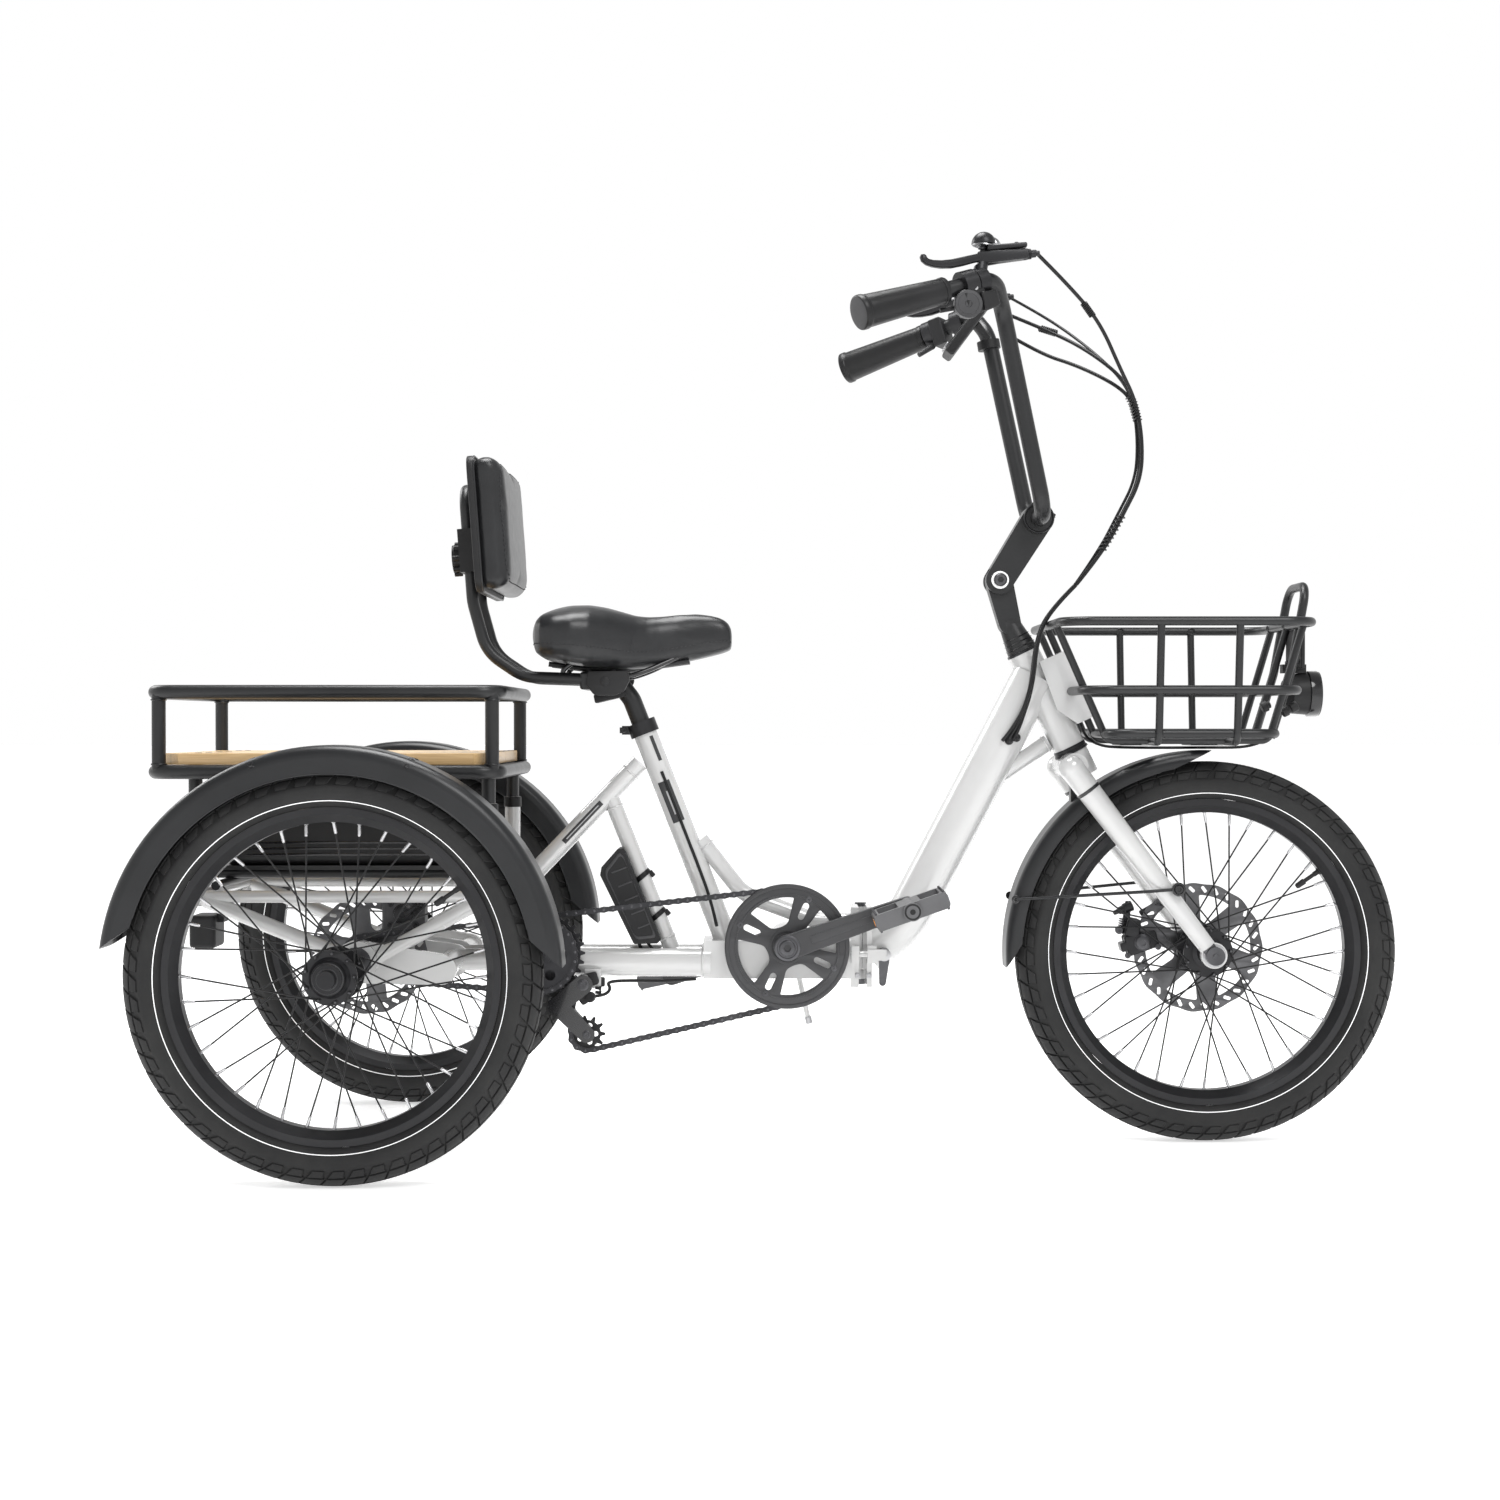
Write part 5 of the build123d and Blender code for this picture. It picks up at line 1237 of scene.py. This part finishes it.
def stitch_along(group, obj, points, spacing=7.0, length=4.2, lift=0.25):
    """A row of stitches lying on a soft piece along a line."""
    tree = BVHTree.FromObject(obj, bpy.context.evaluated_depsgraph_get())
    line, travelled = [], 0.0
    for a, b in zip(points, points[1:]):
        span = (b - a).length / MM
        while travelled < span:
            line.append((a + (b - a) * travelled / span, b - a))
            travelled += spacing
        travelled -= span
    for spot, along in line:
        on, normal, _, _ = tree.find_nearest(spot)
        across = normal.cross(along).normalized()
        along = across.cross(normal).normalized()
        turned(group, on + normal * lift * MM - along * length / 2 * MM, along, [
            (0, 0.25), (0.5, 0.6), (length / 2, 0.75), (length - 0.5, 0.6), (length, 0.25)], 8)


def make_saddle():
    verts, faces = saddle_shell(0.985)
    saddle = new_object("saddle_cover", verts, faces, VINYL, 0)
    soft(saddle, 0.0025, 0.0036)
    saddle.data.shade_smooth()
    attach(saddle, "seat")
    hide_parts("saddle")
    for side in (-1, 1):
        row = []
        for x, half, low, high in SADDLE:
            t = 0.30
            row.append(P(x, side * half * 0.99, low + (high - low) * t))
        stitch_along("saddle_stitches", saddle, row, 6.0, 3.8)
    finish_group("saddle_stitches", "seat", THREAD, "upholstery")
    verts, faces = saddle_shell(0.84, 2.5)
    middle = P(352, 0, 0).x
    verts = [Vector((middle + (v.x - middle) * 0.9, v.y, v.z)) for v in verts]
    keep = P(0, 0, 671).z
    flat = [Vector((v.x, v.y, min(v.z, keep + 0.004))) for v in verts]
    put("saddle_base", flat, faces)
    finish_group("saddle_base", "seat", PLASTIC, "black_plastic")


PAD_TILT = Matrix.Rotation(math.radians(-4.2), 4, "Y")


def pad_form(size, corner, crown, cuts):
    """A crowned, round-cornered block: its sides pull in between its corners."""
    bm = bmesh.new()
    bmesh.ops.create_cube(bm, size=2.0)
    bmesh.ops.subdivide_edges(bm, edges=bm.edges[:], cuts=cuts, use_grid_fill=True)
    verts = []
    for v in bm.verts:
        p = v.co.copy()
        half = Vector([s / 2 for s in size])
        core = Vector([max(min(p[i] * half[i], half[i] - corner), corner - half[i]) for i in range(3)])
        skin = Vector([p[i] * half[i] for i in range(3)]) - core
        q = core + (skin.normalized() * corner if skin.length > 1e-6 else skin)
        y, z = q.y / half.y, q.z / half.z
        if q.x > 0:
            q.x += crown * (1 - y * y) * (1 - z * z) * (q.x / half.x)
        pull = 1.6 * (1 - abs(q.x / half.x))
        q.y -= math.copysign(pull * (1 - z * z), q.y) * abs(y)
        q.z -= math.copysign(pull * (1 - y * y), q.z) * abs(z)
        verts.append(q * MM)
    faces = [[v.index for v in f.verts] for f in bm.faces]
    bm.free()
    return verts, faces


def make_backrest():
    low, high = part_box("backrest_pad")
    centre = (low + high) / 2
    place_pad = Matrix.Translation(centre) @ PAD_TILT
    verts, faces = pad_form((37, 266, 184), 17, 2.4, 30)
    cushion = new_object("backrest_cushion", [place_pad @ (v + Vector((0.0024, 0, 0))) for v in verts],
                         faces, VINYL, 0)
    soft(cushion, 0.005, 0.0045)
    cushion.data.shade_smooth()
    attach(cushion, "backrest")
    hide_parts("backrest_pad")
    outline = rounded([(-90.5, -131.5), (90.5, -131.5), (90.5, 131.5), (-90.5, 131.5)], 24, 8)
    turn = Matrix(((0, 0, 1, 0), (0, 1, 0, 0), (-1, 0, 0, 0), (0, 0, 0, 1)))
    plate("backrest_shell", [outline], 9, place_pad @ Matrix.Translation((-0.0165, 0, 0)) @ turn, 1.6)
    finish_group("backrest_shell", "backrest", PLASTIC, "black_plastic")
    rim = [place_pad @ (Vector((-0.0116, y * MM, z * MM))) for z, y in
           rounded([(-89.5, -130.5), (89.5, -130.5), (89.5, 130.5), (-89.5, 130.5)], 23, 8)]
    wire("backrest_piping", rim, 1.5, cyclic=True, steps=3, sides=3)
    finish_group("backrest_piping", "backrest", VINYL, "upholstery")
    seam = [place_pad @ Vector((0.019, y * MM, z * MM)) for z, y in
            rounded([(-76, -117), (76, -117), (76, 117), (-76, 117)], 22, 8)]
    stitch_along("backrest_stitches", cushion, seam + seam[:1], 6.5, 4.0)
    finish_group("backrest_stitches", "backrest", THREAD, "upholstery")
    dress(PLASTIC, "backrest_clamp")
    knob = P(107, 0, 796)
    turned("backrest_knob", knob, (-1, 0, -0.07), [
        (-14, 17.5), (-13.6, 19), (-3, 20), (-1.4, 19), (0.0, 16), (0.2, 12), (-0.8, 11.4), (-0.8, 1)], 64)
    for k in range(8):
        t = math.radians(45 * k)
        spot = knob + Vector((0.008, math.cos(t) * 0.0195, math.sin(t) * 0.0195))
        turned("backrest_knob", spot, (-1, 0, -0.07), [(-5, 3.4), (-4.6, 4), (5.6, 4), (6.2, 3.4)], 14)
    finish_group("backrest_knob", "backrest", GRIP, "black_plastic")
    for y in (-58, 58):
        for z in (786, 822):
            bolt("backrest_bolts", P(122.5 - (z - 804) * 0.07, y * 0.62, z), (-1, 0, -0.07), 3.4, 3.0)
    finish_group("backrest_bolts", "backrest", STEEL, "steel")


def make_seat_parts():
    for y in (-30, 30):
        for x in (296, 328):
            bolt("seat_clamp_parts", P(x, y * 1.5, 641), (0, 0, 1), 3.6, 3.4)
    cheek = rounded([(-27, 14), (27, 14), (30, 2), (22, -14), (10, -19), (-18, -19), (-30, -4)], 4, 4)
    for y in (-60, 60):
        plate("seat_clamp_parts", [cheek], 6, side_plane(322, y, 628), 1.4)
    block("seat_clamp_parts", (44, 34, 12), pose(P(322, 0, 609), (0.97, 0, 0.2), (0, 0, 1)), 3, 0.8)
    turned("seat_clamp_parts", P(318, -64.5, 628), (0, 1, 0), [
        (0, 5), (0.6, 6), (4, 6), (4.2, 3.6), (124.8, 3.6), (125, 6), (128.4, 6), (129, 5)], 28)
    finish_group("seat_clamp_parts", "seat", PLASTIC, "black_plastic")
    for side in (-1, 1):
        rail = [(272, 46, 652), (262, 46, 646), (260, 46, 638), (266, 46, 632.5), (285, 46, 631),
                (345, 45, 633), (375, 38, 643), (398, 28, 654), (420, 20, 664)]
        wire("seat_rails", [P(x, side * y, z) for x, y, z in rail], 3.6, steps=6, sides=4)
    finish_group("seat_rails", "seat", GLOSS, "black_frame")


# ---- front of the frame -------------------------------------------------------------------
def make_front_frame():
    dress(WHITE, "front_frame", "fork")
    dress(BLACK, "basket", "stem_base", "stem_arm", "handlebar")
    dress(ANODISED, "headset")
    repaint("fork", STEEL, lambda x, y, z: abs(y) > 70.05 and math.hypot(x - WHEELBASE, z - WHEEL_R) < 13)
    steer_low, steer = P(951.9, 0, 534.5), Vector((-0.438, 0, 0.899)).normalized()
    for at, r in ((-0.0035, 24.2), (0.148, 22.6)):
        base = steer_low + steer * at
        turned("head_rings", base, steer, [(0, r - 1.2), (0.5, r), (3.4, r), (4.0, r - 1.2)], 48)
    finish_group("head_rings", "front_frame", ANODISED, "black_alloy")
    leg = (P(1135.7, 0, 260) - P(945, 0, 511)).normalized()
    for side in (-1, 1):
        top = P(945, side * 64, 511)
        turned("fork_rings", top + leg * 0.034, leg, [
            (0, 16.4), (0.6, 17.6), (4.4, 17.4), (5.0, 16.0)], 40)
        end = P(WHEELBASE, side * 70, WHEEL_R)
        turned("axle_washers", end, (0, side, 0), [(-0.2, 15.4), (0.6, 15.6), (1.2, 15.0), (1.3, 12.6)], 40)
        hex_nut("axle_nuts", P(WHEELBASE, side * 71, WHEEL_R), (0, side, 0), 8.2, 8.4)
    finish_group("fork_rings", "steering", GLOSS, "black_frame")
    finish_group("axle_washers", "steering", ALLOY, "steel")
    finish_group("axle_nuts", "steering", STEEL, "steel")
    bead("front_welds", P(917.5, 0, 543), (-0.82, 0, -0.57), 11.2, 1.3)
    bead("front_welds", P(854, 0, 499.4), (0.82, 0, 0.57), 11.2, 1.3)
    finish_group("front_welds", "front_frame", WHITE, "white_frame")
    dress(STEEL, "fold_latch")
    for z in (230, 305):
        for x in (658.6, 674.4):
            bolt("hinge_bolts", P(x, -37, z), (0, -1, 0), 2.8, 2.4)
    turned("hinge_bolts", P(694, -54.2, 259.7), (0, -1, 0),
           [(0, 8.8), (1.6, 8.8), (2.6, 7.2), (2.6, 4.0, 6), (1.0, 3.6, 6)], 32)
    hex_nut("hinge_bolts", P(656, -46, 259.7), (-1, 0, 0), 5.4, 4.4)
    finish_group("hinge_bolts", "front_frame", ALLOY, "steel")


def make_stem():
    pivot = P(852.9, 0, 766.4)
    for side in (-1, 1):
        at = pivot + Vector((0, side * 22.4 * MM, 0))
        turned("stem_washers", at, (0, side, 0), [(-0.6, 11.6), (0.4, 12), (1.2, 11.6), (1.3, 9.2)], 40)
        turned("stem_bolts", at + Vector((0, side * 6.4 * MM, 0)), (0, side, 0), [
            (-5, 8.2), (0.2, 8.2), (1.2, 7.2), (1.2, 4.4, 6), (-2, 4.0, 6)], 36)
    # painted glow: the stem washers share the bands' emitting material
    finish_group("stem_washers", "steering", REFLECT_PAINTED_GLOW, "white_frame")
    finish_group("stem_bolts", "steering", STEEL, "steel")
    centre = P(905, 0, 850)
    arm = (centre - pivot).normalized()
    across = Vector((-arm.z, 0, arm.x))
    for side in (-1, 1):
        for end in (-1, 1):
            bolt("stem_face_bolts", centre + across * end * 15 * MM * -1 + arm * 13 * MM + Vector((0,
                    side * 17 * MM, 0)), arm, 3.0, 4.4)
        bead("stem_face_bolts", centre + Vector((0, side * 27.4 * MM, 0)), (0, side, 0), 19.4, 1.4)
    finish_group("stem_face_bolts", "handlebar", ANODISED, "black_alloy")
    steer = Vector((-0.438, 0, 0.899)).normalized()
    for z, r in ((676, 21.4), (682, 20.2), (688, 19.0)):
        base = P(951.9, 0, 534.5) + steer * ((z - 534.5) / 0.899) * MM
        turned("stem_cap_ribs", base, steer, [(0, r - 1), (0.4, r), (1.6, r), (2.0, r - 1.2)], 40)
    finish_group("stem_cap_ribs", "steering", GLOSS, "black_frame")


def make_basket():
    for z, x0, x1, y in ((704, 919, 1248, 174), (615, 949, 1231, 164), (558, 985, 1204, 152)):
        for x in (1046, 1148):
            for side in (-1, 1):
                bead("basket_welds", P(x, side * (y - 6.2), z), (0, side, 0.2), 4.4, 1.1)
        for yy in (-96, 0, 96):
            bead("basket_welds", P(x0 + 6, yy, z), (1, 0, -0.2), 4.2, 1.1)
            bead("basket_welds", P(x1 - 6, yy, z), (1, 0, 0.2), 4.2, 1.1)
    finish_group("basket_welds", "front_frame", BLACK, "black_frame")
    dress(PLASTIC, "headlight")
    outline = rounded([(-41, -24), (41, -24), (41, 24), (-41, 24)], 5)
    turn = Matrix.Translation(P(1262.2, 0, 674)) @ Matrix(((0, 0, 1, 0), (1, 0, 0, 0), (0, 1, 0, 0),
                                                           (0, 0, 0, 1)))
    plate("badge_face", [outline], 1.2, turn, 0.4)
    finish_group("badge_face", "front_frame", GLOSS, "black_plastic")
    for side in (-1, 1):
        for z in (655, 693):
            bolt("badge_bolts", P(1255.6, side * 34, z), (-1, 0, 0), 2.8, 2.6)
    finish_group("badge_bolts", "front_frame", STEEL, "steel")
    lamp = P(1290, 0, 612)
    turned("lamp_bezel", lamp, (1, 0, 0),
           [(-16, 29.6), (-15, 31.2), (-3, 31.4), (-1.2, 30.2), (-0.6, 27.4), (-3.2, 26.4)], 56)
    finish_group("lamp_bezel", "front_frame", GLOSS, "black_plastic")
    turned("lamp_reflector", lamp, (1, 0, 0), [(-12, 8), (-11, 14), (-7, 22), (-3.4, 26.2), (-3.2, 26.4)],
           48)
    finish_group("lamp_reflector", "front_frame", NICKEL, "steel")
    turned("lamp_lens", lamp, (1, 0, 0), [(-3.4, 26.6), (-2.4, 26.6), (-1.4, 22), (-0.8, 14), (-0.6, 4),
                                          (-0.6, 0.5)], 48)
    finish_group("lamp_lens", "front_frame", CLEAR, "black_plastic")
    for k in range(4):
        turned("lamp_fins", lamp, (1, 0, 0),
               [(-36 + 4.4 * k, 18 + 2.2 * k), (-35.6 + 4.4 * k, 23 + 1.6 * k),
                                               (-34.2 + 4.4 * k, 23.4 + 1.6 * k),
                                               (-33.8 + 4.4 * k, 18.6 + 2.2 * k)], 40)
    block("lamp_fins", (26, 22, 8), pose(P(1254, 0, 648), (1, 0, 0), (0, 0, 1)), 2)
    turned("lamp_fins", P(1226, -66, 586), (0.9, 0, 0.42),
           [(0, 6), (1, 7.4), (8, 7.4), (9, 5), (12, 5), (13, 7), (22, 7), (23, 5)], 24)
    turned("lamp_fins", P(1200, -60, 592), (0.9, 0, 0.42),
           [(0, 6), (1, 7.4), (8, 7.4), (9, 5), (12, 5), (13, 3)], 24)
    finish_group("lamp_fins", "front_frame", PLASTIC, "black_plastic")


GRIP_END = Vector((655.6, -230, 1093))
BAR_KNEE = Vector((832, -147, 1152))
ALONG = (BAR_KNEE - GRIP_END).normalized()


def on_bar(distance, side, offset=(0, 0, 0)):
    p = GRIP_END + ALONG * distance + Vector(offset)
    return P(p.x, side * -p.y, p.z)


def swept(group, stations, sides=20):
    """A bar with an oval section: each station is its centre, its half height and its half width."""
    verts, faces = [], []
    for i, (at, tall, wide) in enumerate(stations):
        before, after = stations[max(i - 1, 0)][0], stations[min(i + 1, len(stations) - 1)][0]
        along = (after - before).normalized()
        across = along.cross(Vector((0, 0, 1))).normalized()
        up = across.cross(along)
        for k in range(sides):
            t = 2 * math.pi * k / sides
            c, s = math.cos(t), math.sin(t)
            verts.append(at + across * wide * MM * math.copysign(abs(c) ** 0.6, c)
                         + up * tall * MM * math.copysign(abs(s) ** 0.8, s))
    for i in range(len(stations) - 1):
        for k in range(sides):
            n = (k + 1) % sides
            faces.append((i * sides + k, i * sides + n, (i + 1) * sides + n, (i + 1) * sides + k))
    faces.append(tuple(reversed(range(sides))))
    faces.append(tuple(range((len(stations) - 1) * sides, len(stations) * sides)))
    put(group, verts, faces)


def make_levers():
    """Brake blades that dip below their bodies and curl up to a ball."""
    route = [((824, 152, 1179), 5.0, 4.5), ((814, 155.5, 1177.4), 5.4, 5.2), ((801, 161, 1173.6), 5.6, 6.0),
             ((787, 167, 1169), 5.9, 6.4), ((773, 173.5, 1165), 5.8, 6.4), ((759, 180, 1163), 5.2, 6.0),
             ((748, 185.5, 1163), 4.6, 5.2), ((741, 189, 1164.4), 4.3, 4.6),
             ((737, 190.5, 1167.4), 4.4, 4.6),
             ((735.6, 191, 1171.4), 4.2, 4.4), ((735.4, 191, 1173.6), 2.6, 2.8)]
    for side, name in ((-1, "right_brake_lever"), (1, "left_brake_lever")):
        stations = [(P(x, side * y, z), tall, wide) for (x, y, z), tall, wide in route]
        swept(f"{name}_blade", stations)
        finish_group(f"{name}_blade", name, ANODISED, "black_alloy", name, smooth_angle=50)


def make_controls():
    for side in (-1, 1):
        along = Vector((ALONG.x, -side * ALONG.y, ALONG.z))
        profile = [(-5, 19), (-4.8, 21), (-4, 22.2), (-2.5, 22.7), (2.6, 22.7), (3.6, 22.3), (4.4, 21.4),
                   (5.2, 21.2)]
        profile += [(8 + 11 * k, 21.3 - 0.42 * k) for k in range(11)]
        profile += [(119.5, 16.9), (120, 17.8), (124.5, 17.9), (126, 17.2), (126, 13)]
        turned("grip_sleeves", on_bar(0, side), along, profile, 48)
        turned("grip_plugs", on_bar(-5.2, side), along,
               [(0.9, 19.6), (0.3, 20.4), (0.0, 19), (-0.1, 8), (-0.1, 1)], 48)
    finish_group("grip_sleeves", "handlebar", GRIP, "grip_rubber", "grips")
    finish_group("grip_plugs", "handlebar", CASTING, "black_plastic")
    dress(ANODISED, "bar_clamps")
    make_levers()
    dress(PLASTIC, "shift_lever", "throttle", "display")

    for side in (-1, 1):
        pivot = P(815, side * 152, 1176)
        reach = Vector((0.98, side * 0.02, 0.09))
        block("brake_bodies", (68, 23, 17),
              pose(pivot + Vector((0.028, side * -0.001, 0.003)), reach, (0, 0, 1)), 4, 0.76)
        block("brake_bodies", (52, 18, 8),
              pose(pivot + Vector((0.033, side * -0.001, 0.0155)), reach, (0, 0, 1)), 3, 0.8)
        for along in (0.012, 0.046):
            turned("brake_screws", pivot + reach * along + Vector((0, 0, 0.0155)), (0, 0, 1), [
                (0, 2.6), (1.4, 2.6), (1.8, 2.0), (1.8, 1.2, 6), (0.8, 1.0, 6)], 20)
        turned("brake_bodies", pivot + reach * 0.055, reach, [
            (0, 7), (3, 7.2), (3.4, 6.4), (10, 6.2), (10.6, 5.2), (16, 5.0), (16.6, 3.4), (21, 3.2),
            (21.4, 2.6)], 24)
        for k in range(7):
            turned("brake_bodies", pivot + reach * (0.0585 + 0.00095 * k), reach,
                   [(0, 6.4), (0.2, 6.9), (0.5, 6.9), (0.7, 6.4)], 24)
        turned("brake_screws", pivot + Vector((0, 0, 0.0125)), (0, 0, 1),
               [(0, 5), (1.2, 5), (1.8, 4.2), (1.8, 2.2, 6), (0.6, 2.0, 6)], 24)
        turned("brake_screws", on_bar(180, side, (6, 0, -19)), (0.1, 0, -1),
               [(0, 3.4), (3.4, 3.4), (4, 2.8), (4, 1.8, 6), (2, 1.6, 6)], 20)
    finish_group("brake_bodies", "handlebar", ANODISED, "black_alloy")
    finish_group("brake_screws", "handlebar", STEEL, "steel")

    along = ALONG
    block("shifter_body", (34, 30, 34), pose(on_bar(161, -1, (6, 0, -22)), along, (0, 0, 1)), 5, 0.9)
    block("shifter_body", (26, 22, 26), pose(on_bar(162, -1, (26, 0, -20)), along, (0, 0, 1)), 4, 0.8)
    turned("shifter_disc", on_bar(156, -1, (4, -13, -26)), (0.1, -1, 0), [
        (-6, 16), (-5, 18.4), (4, 18.4), (5, 17.4), (5.2, 14), (4.6, 13.4), (4.6, 5), (3.6, 4)], 48)
    finish_group("shifter_disc", "handlebar", CASTING, "black_plastic")
    left_along = Vector((ALONG.x, -ALONG.y, ALONG.z))
    block("shifter_body", (20, 40, 40), pose(on_bar(150, 1, (2, 2, -4)), left_along, (0, 0, 1)), 4)
    for dz in (-15, 15):
        turned("control_screws", on_bar(139, 1, (0, -8, dz - 4)), (-1, -0.3, 0),
               [(0, 3.6), (5, 3.6), (5.8, 3), (5.8, 1.8, 6), (3, 1.6, 6)], 20)
    turned("control_screws", on_bar(168, -1, (4, -16, -8)), (0.1, -1, 0),
           [(0, 3.0), (1.0, 2.8), (1.4, 2.0), (1.4, 1.0)], 20)
    finish_group("shifter_body", "handlebar", PLASTIC, "black_plastic")
    finish_group("control_screws", "handlebar", NICKEL, "steel")

    screen = Matrix.Translation(P(822, 48, 1130)) @ Matrix.Rotation(math.radians(36.5), 4, "Y")
    turn = Matrix(((0, 0, 1, 0), (0, 1, 0, 0), (-1, 0, 0, 0), (0, 0, 0, 1)))
    outline = rounded([(-57, -28), (57, -28), (57, 28), (-57, 28)], 5)
    plate("display_glass", [outline], 1.6, screen @ Matrix.Translation((-0.0072, 0, 0)) @ turn, 0.5)
    finish_group("display_glass", "handlebar", GLOSS, "black_plastic")
    for k in range(3):
        block("display_keys", (4, 12, 8), screen @ Matrix.Translation((-0.0085, (k - 1) * 0.017, -0.052)),
              1.4)
    finish_group("display_keys", "handlebar", ALLOY, "black_plastic")

    bell = P(818, -146, 1196)
    turned("bell_parts", bell, (0.1, 0, 1), [(-3, 14.6), (-2.2, 15.4), (-1.2, 15.2), (-0.6, 14.2)], 40)
    turned("bell_parts", bell + Vector((0.014, 0.004, 0.0)), (0.7, 0.1, 0.5), [
        (-4, 9), (-1, 10.6), (2, 10.4), (5, 8.4), (7, 5), (7.8, 1.5)], 32)
    finish_group("bell_parts", "handlebar", NICKEL, "steel")


# ---- cables -----------------------------------------------------------------------------
def make_cables():
    drop = [(1031, 1005), (1040.5, 952.5), (1038.6, 899.2), (1014.6, 852.2), (988, 802.4), (951.8, 758)]
    routes = {
        -56: [(884, -150, 1186), (927, -130, 1150), (975, -105, 1103), (1007, -80, 1043)],
        -47: [(872, 62, 1141), (931, 38, 1112), (972, -10, 1080), (1013.5, -50, 1038)],
        -38: [(862, 84, 1124), (916, 60, 1086), (962, 10, 1062), (1010, -36, 1028)],
    }
    for y, start in routes.items():
        points = [P(*p) for p in start] + [P(x, y, z) for x, z in drop]
        wire("cable_uppers", points, 2.5, steps=10)
    extra = [(874, 150, 1186), (918, 132, 1158), (962, 92, 1120), (1002, 20, 1068), (1020, -34, 1030),
             (1030, -43, 1002),
             (1036, -43, 952), (1033, -43, 900), (1009, -42, 853), (983, -42, 803), (951.2, -42, 758)]
    wire("cable_uppers", [P(*p) for p in extra], 2.0, steps=10)
    for points, r, flat in (([P(952, -116.5, 1125), P(965.5, -109, 1108.8)], 4.0, 1),
                            ([P(1023.5, -49.5, 1012), P(1029.1, -47, 1001.8), P(1035.3, -47, 978.3)], 5.2,
                             2.8),
                            ([P(1014.2, -47, 851.7), P(1001, -47, 827.4), P(986.4, -47, 803.3)], 5.0, 2.7),
                            ([P(915, 46, 1119), P(936, 34, 1110)], 4.2, 1)):
        helix("cable_wraps", points, r, 1.1, 9, flat)
    for name in ("cable_uppers", "cable_wraps"):
        verts, faces = GROUPS.pop(name)
        obj = new_object(name, verts, faces, CABLE, 60)
        if name == "cable_uppers":
            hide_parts("upper_cables")
        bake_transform(obj)

    for y, spread_out in ((-56, -9), (-47, 0), (-38, 9)):
        foot = [(951.2, y, 757.2), (916, y + 3, 722), (900, y + 2, 684), (893, -45 + 0.7 * spread_out, 626),
                (880 + 0.3 * spread_out, -43 + 0.3 * spread_out, 576), (862 + 0.8 * spread_out, -34.5, 548)]
        wire("cable_lowers", [P(*p) for p in foot], 2.5, steps=10)
    foot = [(950.8, -42, 757.4), (917, -40, 722), (902, -40, 684), (897, -39, 628), (884, -38, 580),
            (868, -33, 552)]
    wire("cable_lowers", [P(*p) for p in foot], 2.0, steps=10)
    verts, faces = GROUPS.pop("cable_lowers")
    obj = new_object("cable_lowers", verts, faces, CABLE, 60)
    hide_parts("lower_cables")
    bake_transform(obj)

    lead = [(968, 32, 580), (972, 30, 556), (995, 24, 540), (1030, 19, 538.2), (1085, 20, 538),
            (1140, 20.5, 538.3), (1200, 19, 538.2), (1228, 16, 552), (1238, 10, 586)]
    wire("lamp_lead", [P(*p) for p in lead], 2.0, steps=8)
    finish_group("lamp_lead", "front_frame", CABLE, "cable")
    for x, z in ((866, 552), (876, 556)):
        turned("cable_grommets", P(x - 2, -30, z - 4), (0.3, -1, 0.2),
               [(0, 6), (2, 6), (4, 4.4), (8, 3.2), (8.4, 2.6)], 20)
    finish_group("cable_grommets", "front_frame", GRIP, "cable")

    stay = [(440, -30, 224.5), (400, -30, 221), (350, -31, 222.6), (318, -34, 221)]
    tail = [(326, -56, 214), (318, -66, 206), (303, -76, 206)]
    wire("derailleur_cable", [P(*p) for p in stay + tail], 2.2, steps=8)
    wire("derailleur_cable", [P(392.6, -16.5, 506), P(405, -17.5, 474), P(424, -18, 425),
                              P(444, -18.5, 374), P(460, -20, 330), P(468, -30, 296)], 2.2, steps=6)
    loop = [(214, -40, 262), (200, -52, 268), (184, -60, 262), (178, -62, 246), (186, -62, 226),
            (206, -60, 212), (232, -62, 206)]
    wire("derailleur_cable", [P(*p) for p in loop], 2.0, steps=8)
    finish_group("derailleur_cable", "rear_frame", CABLE, "cable", "rear_cables")


make_stage()
make_wheels()
make_crankset()
make_pedals()
make_chains()
make_derailleur()
make_rear_frame()
make_rack()
make_fenders()
make_brakes()
make_saddle()
make_backrest()
make_seat_parts()
make_front_frame()
make_stem()
make_basket()
make_controls()
make_cables()
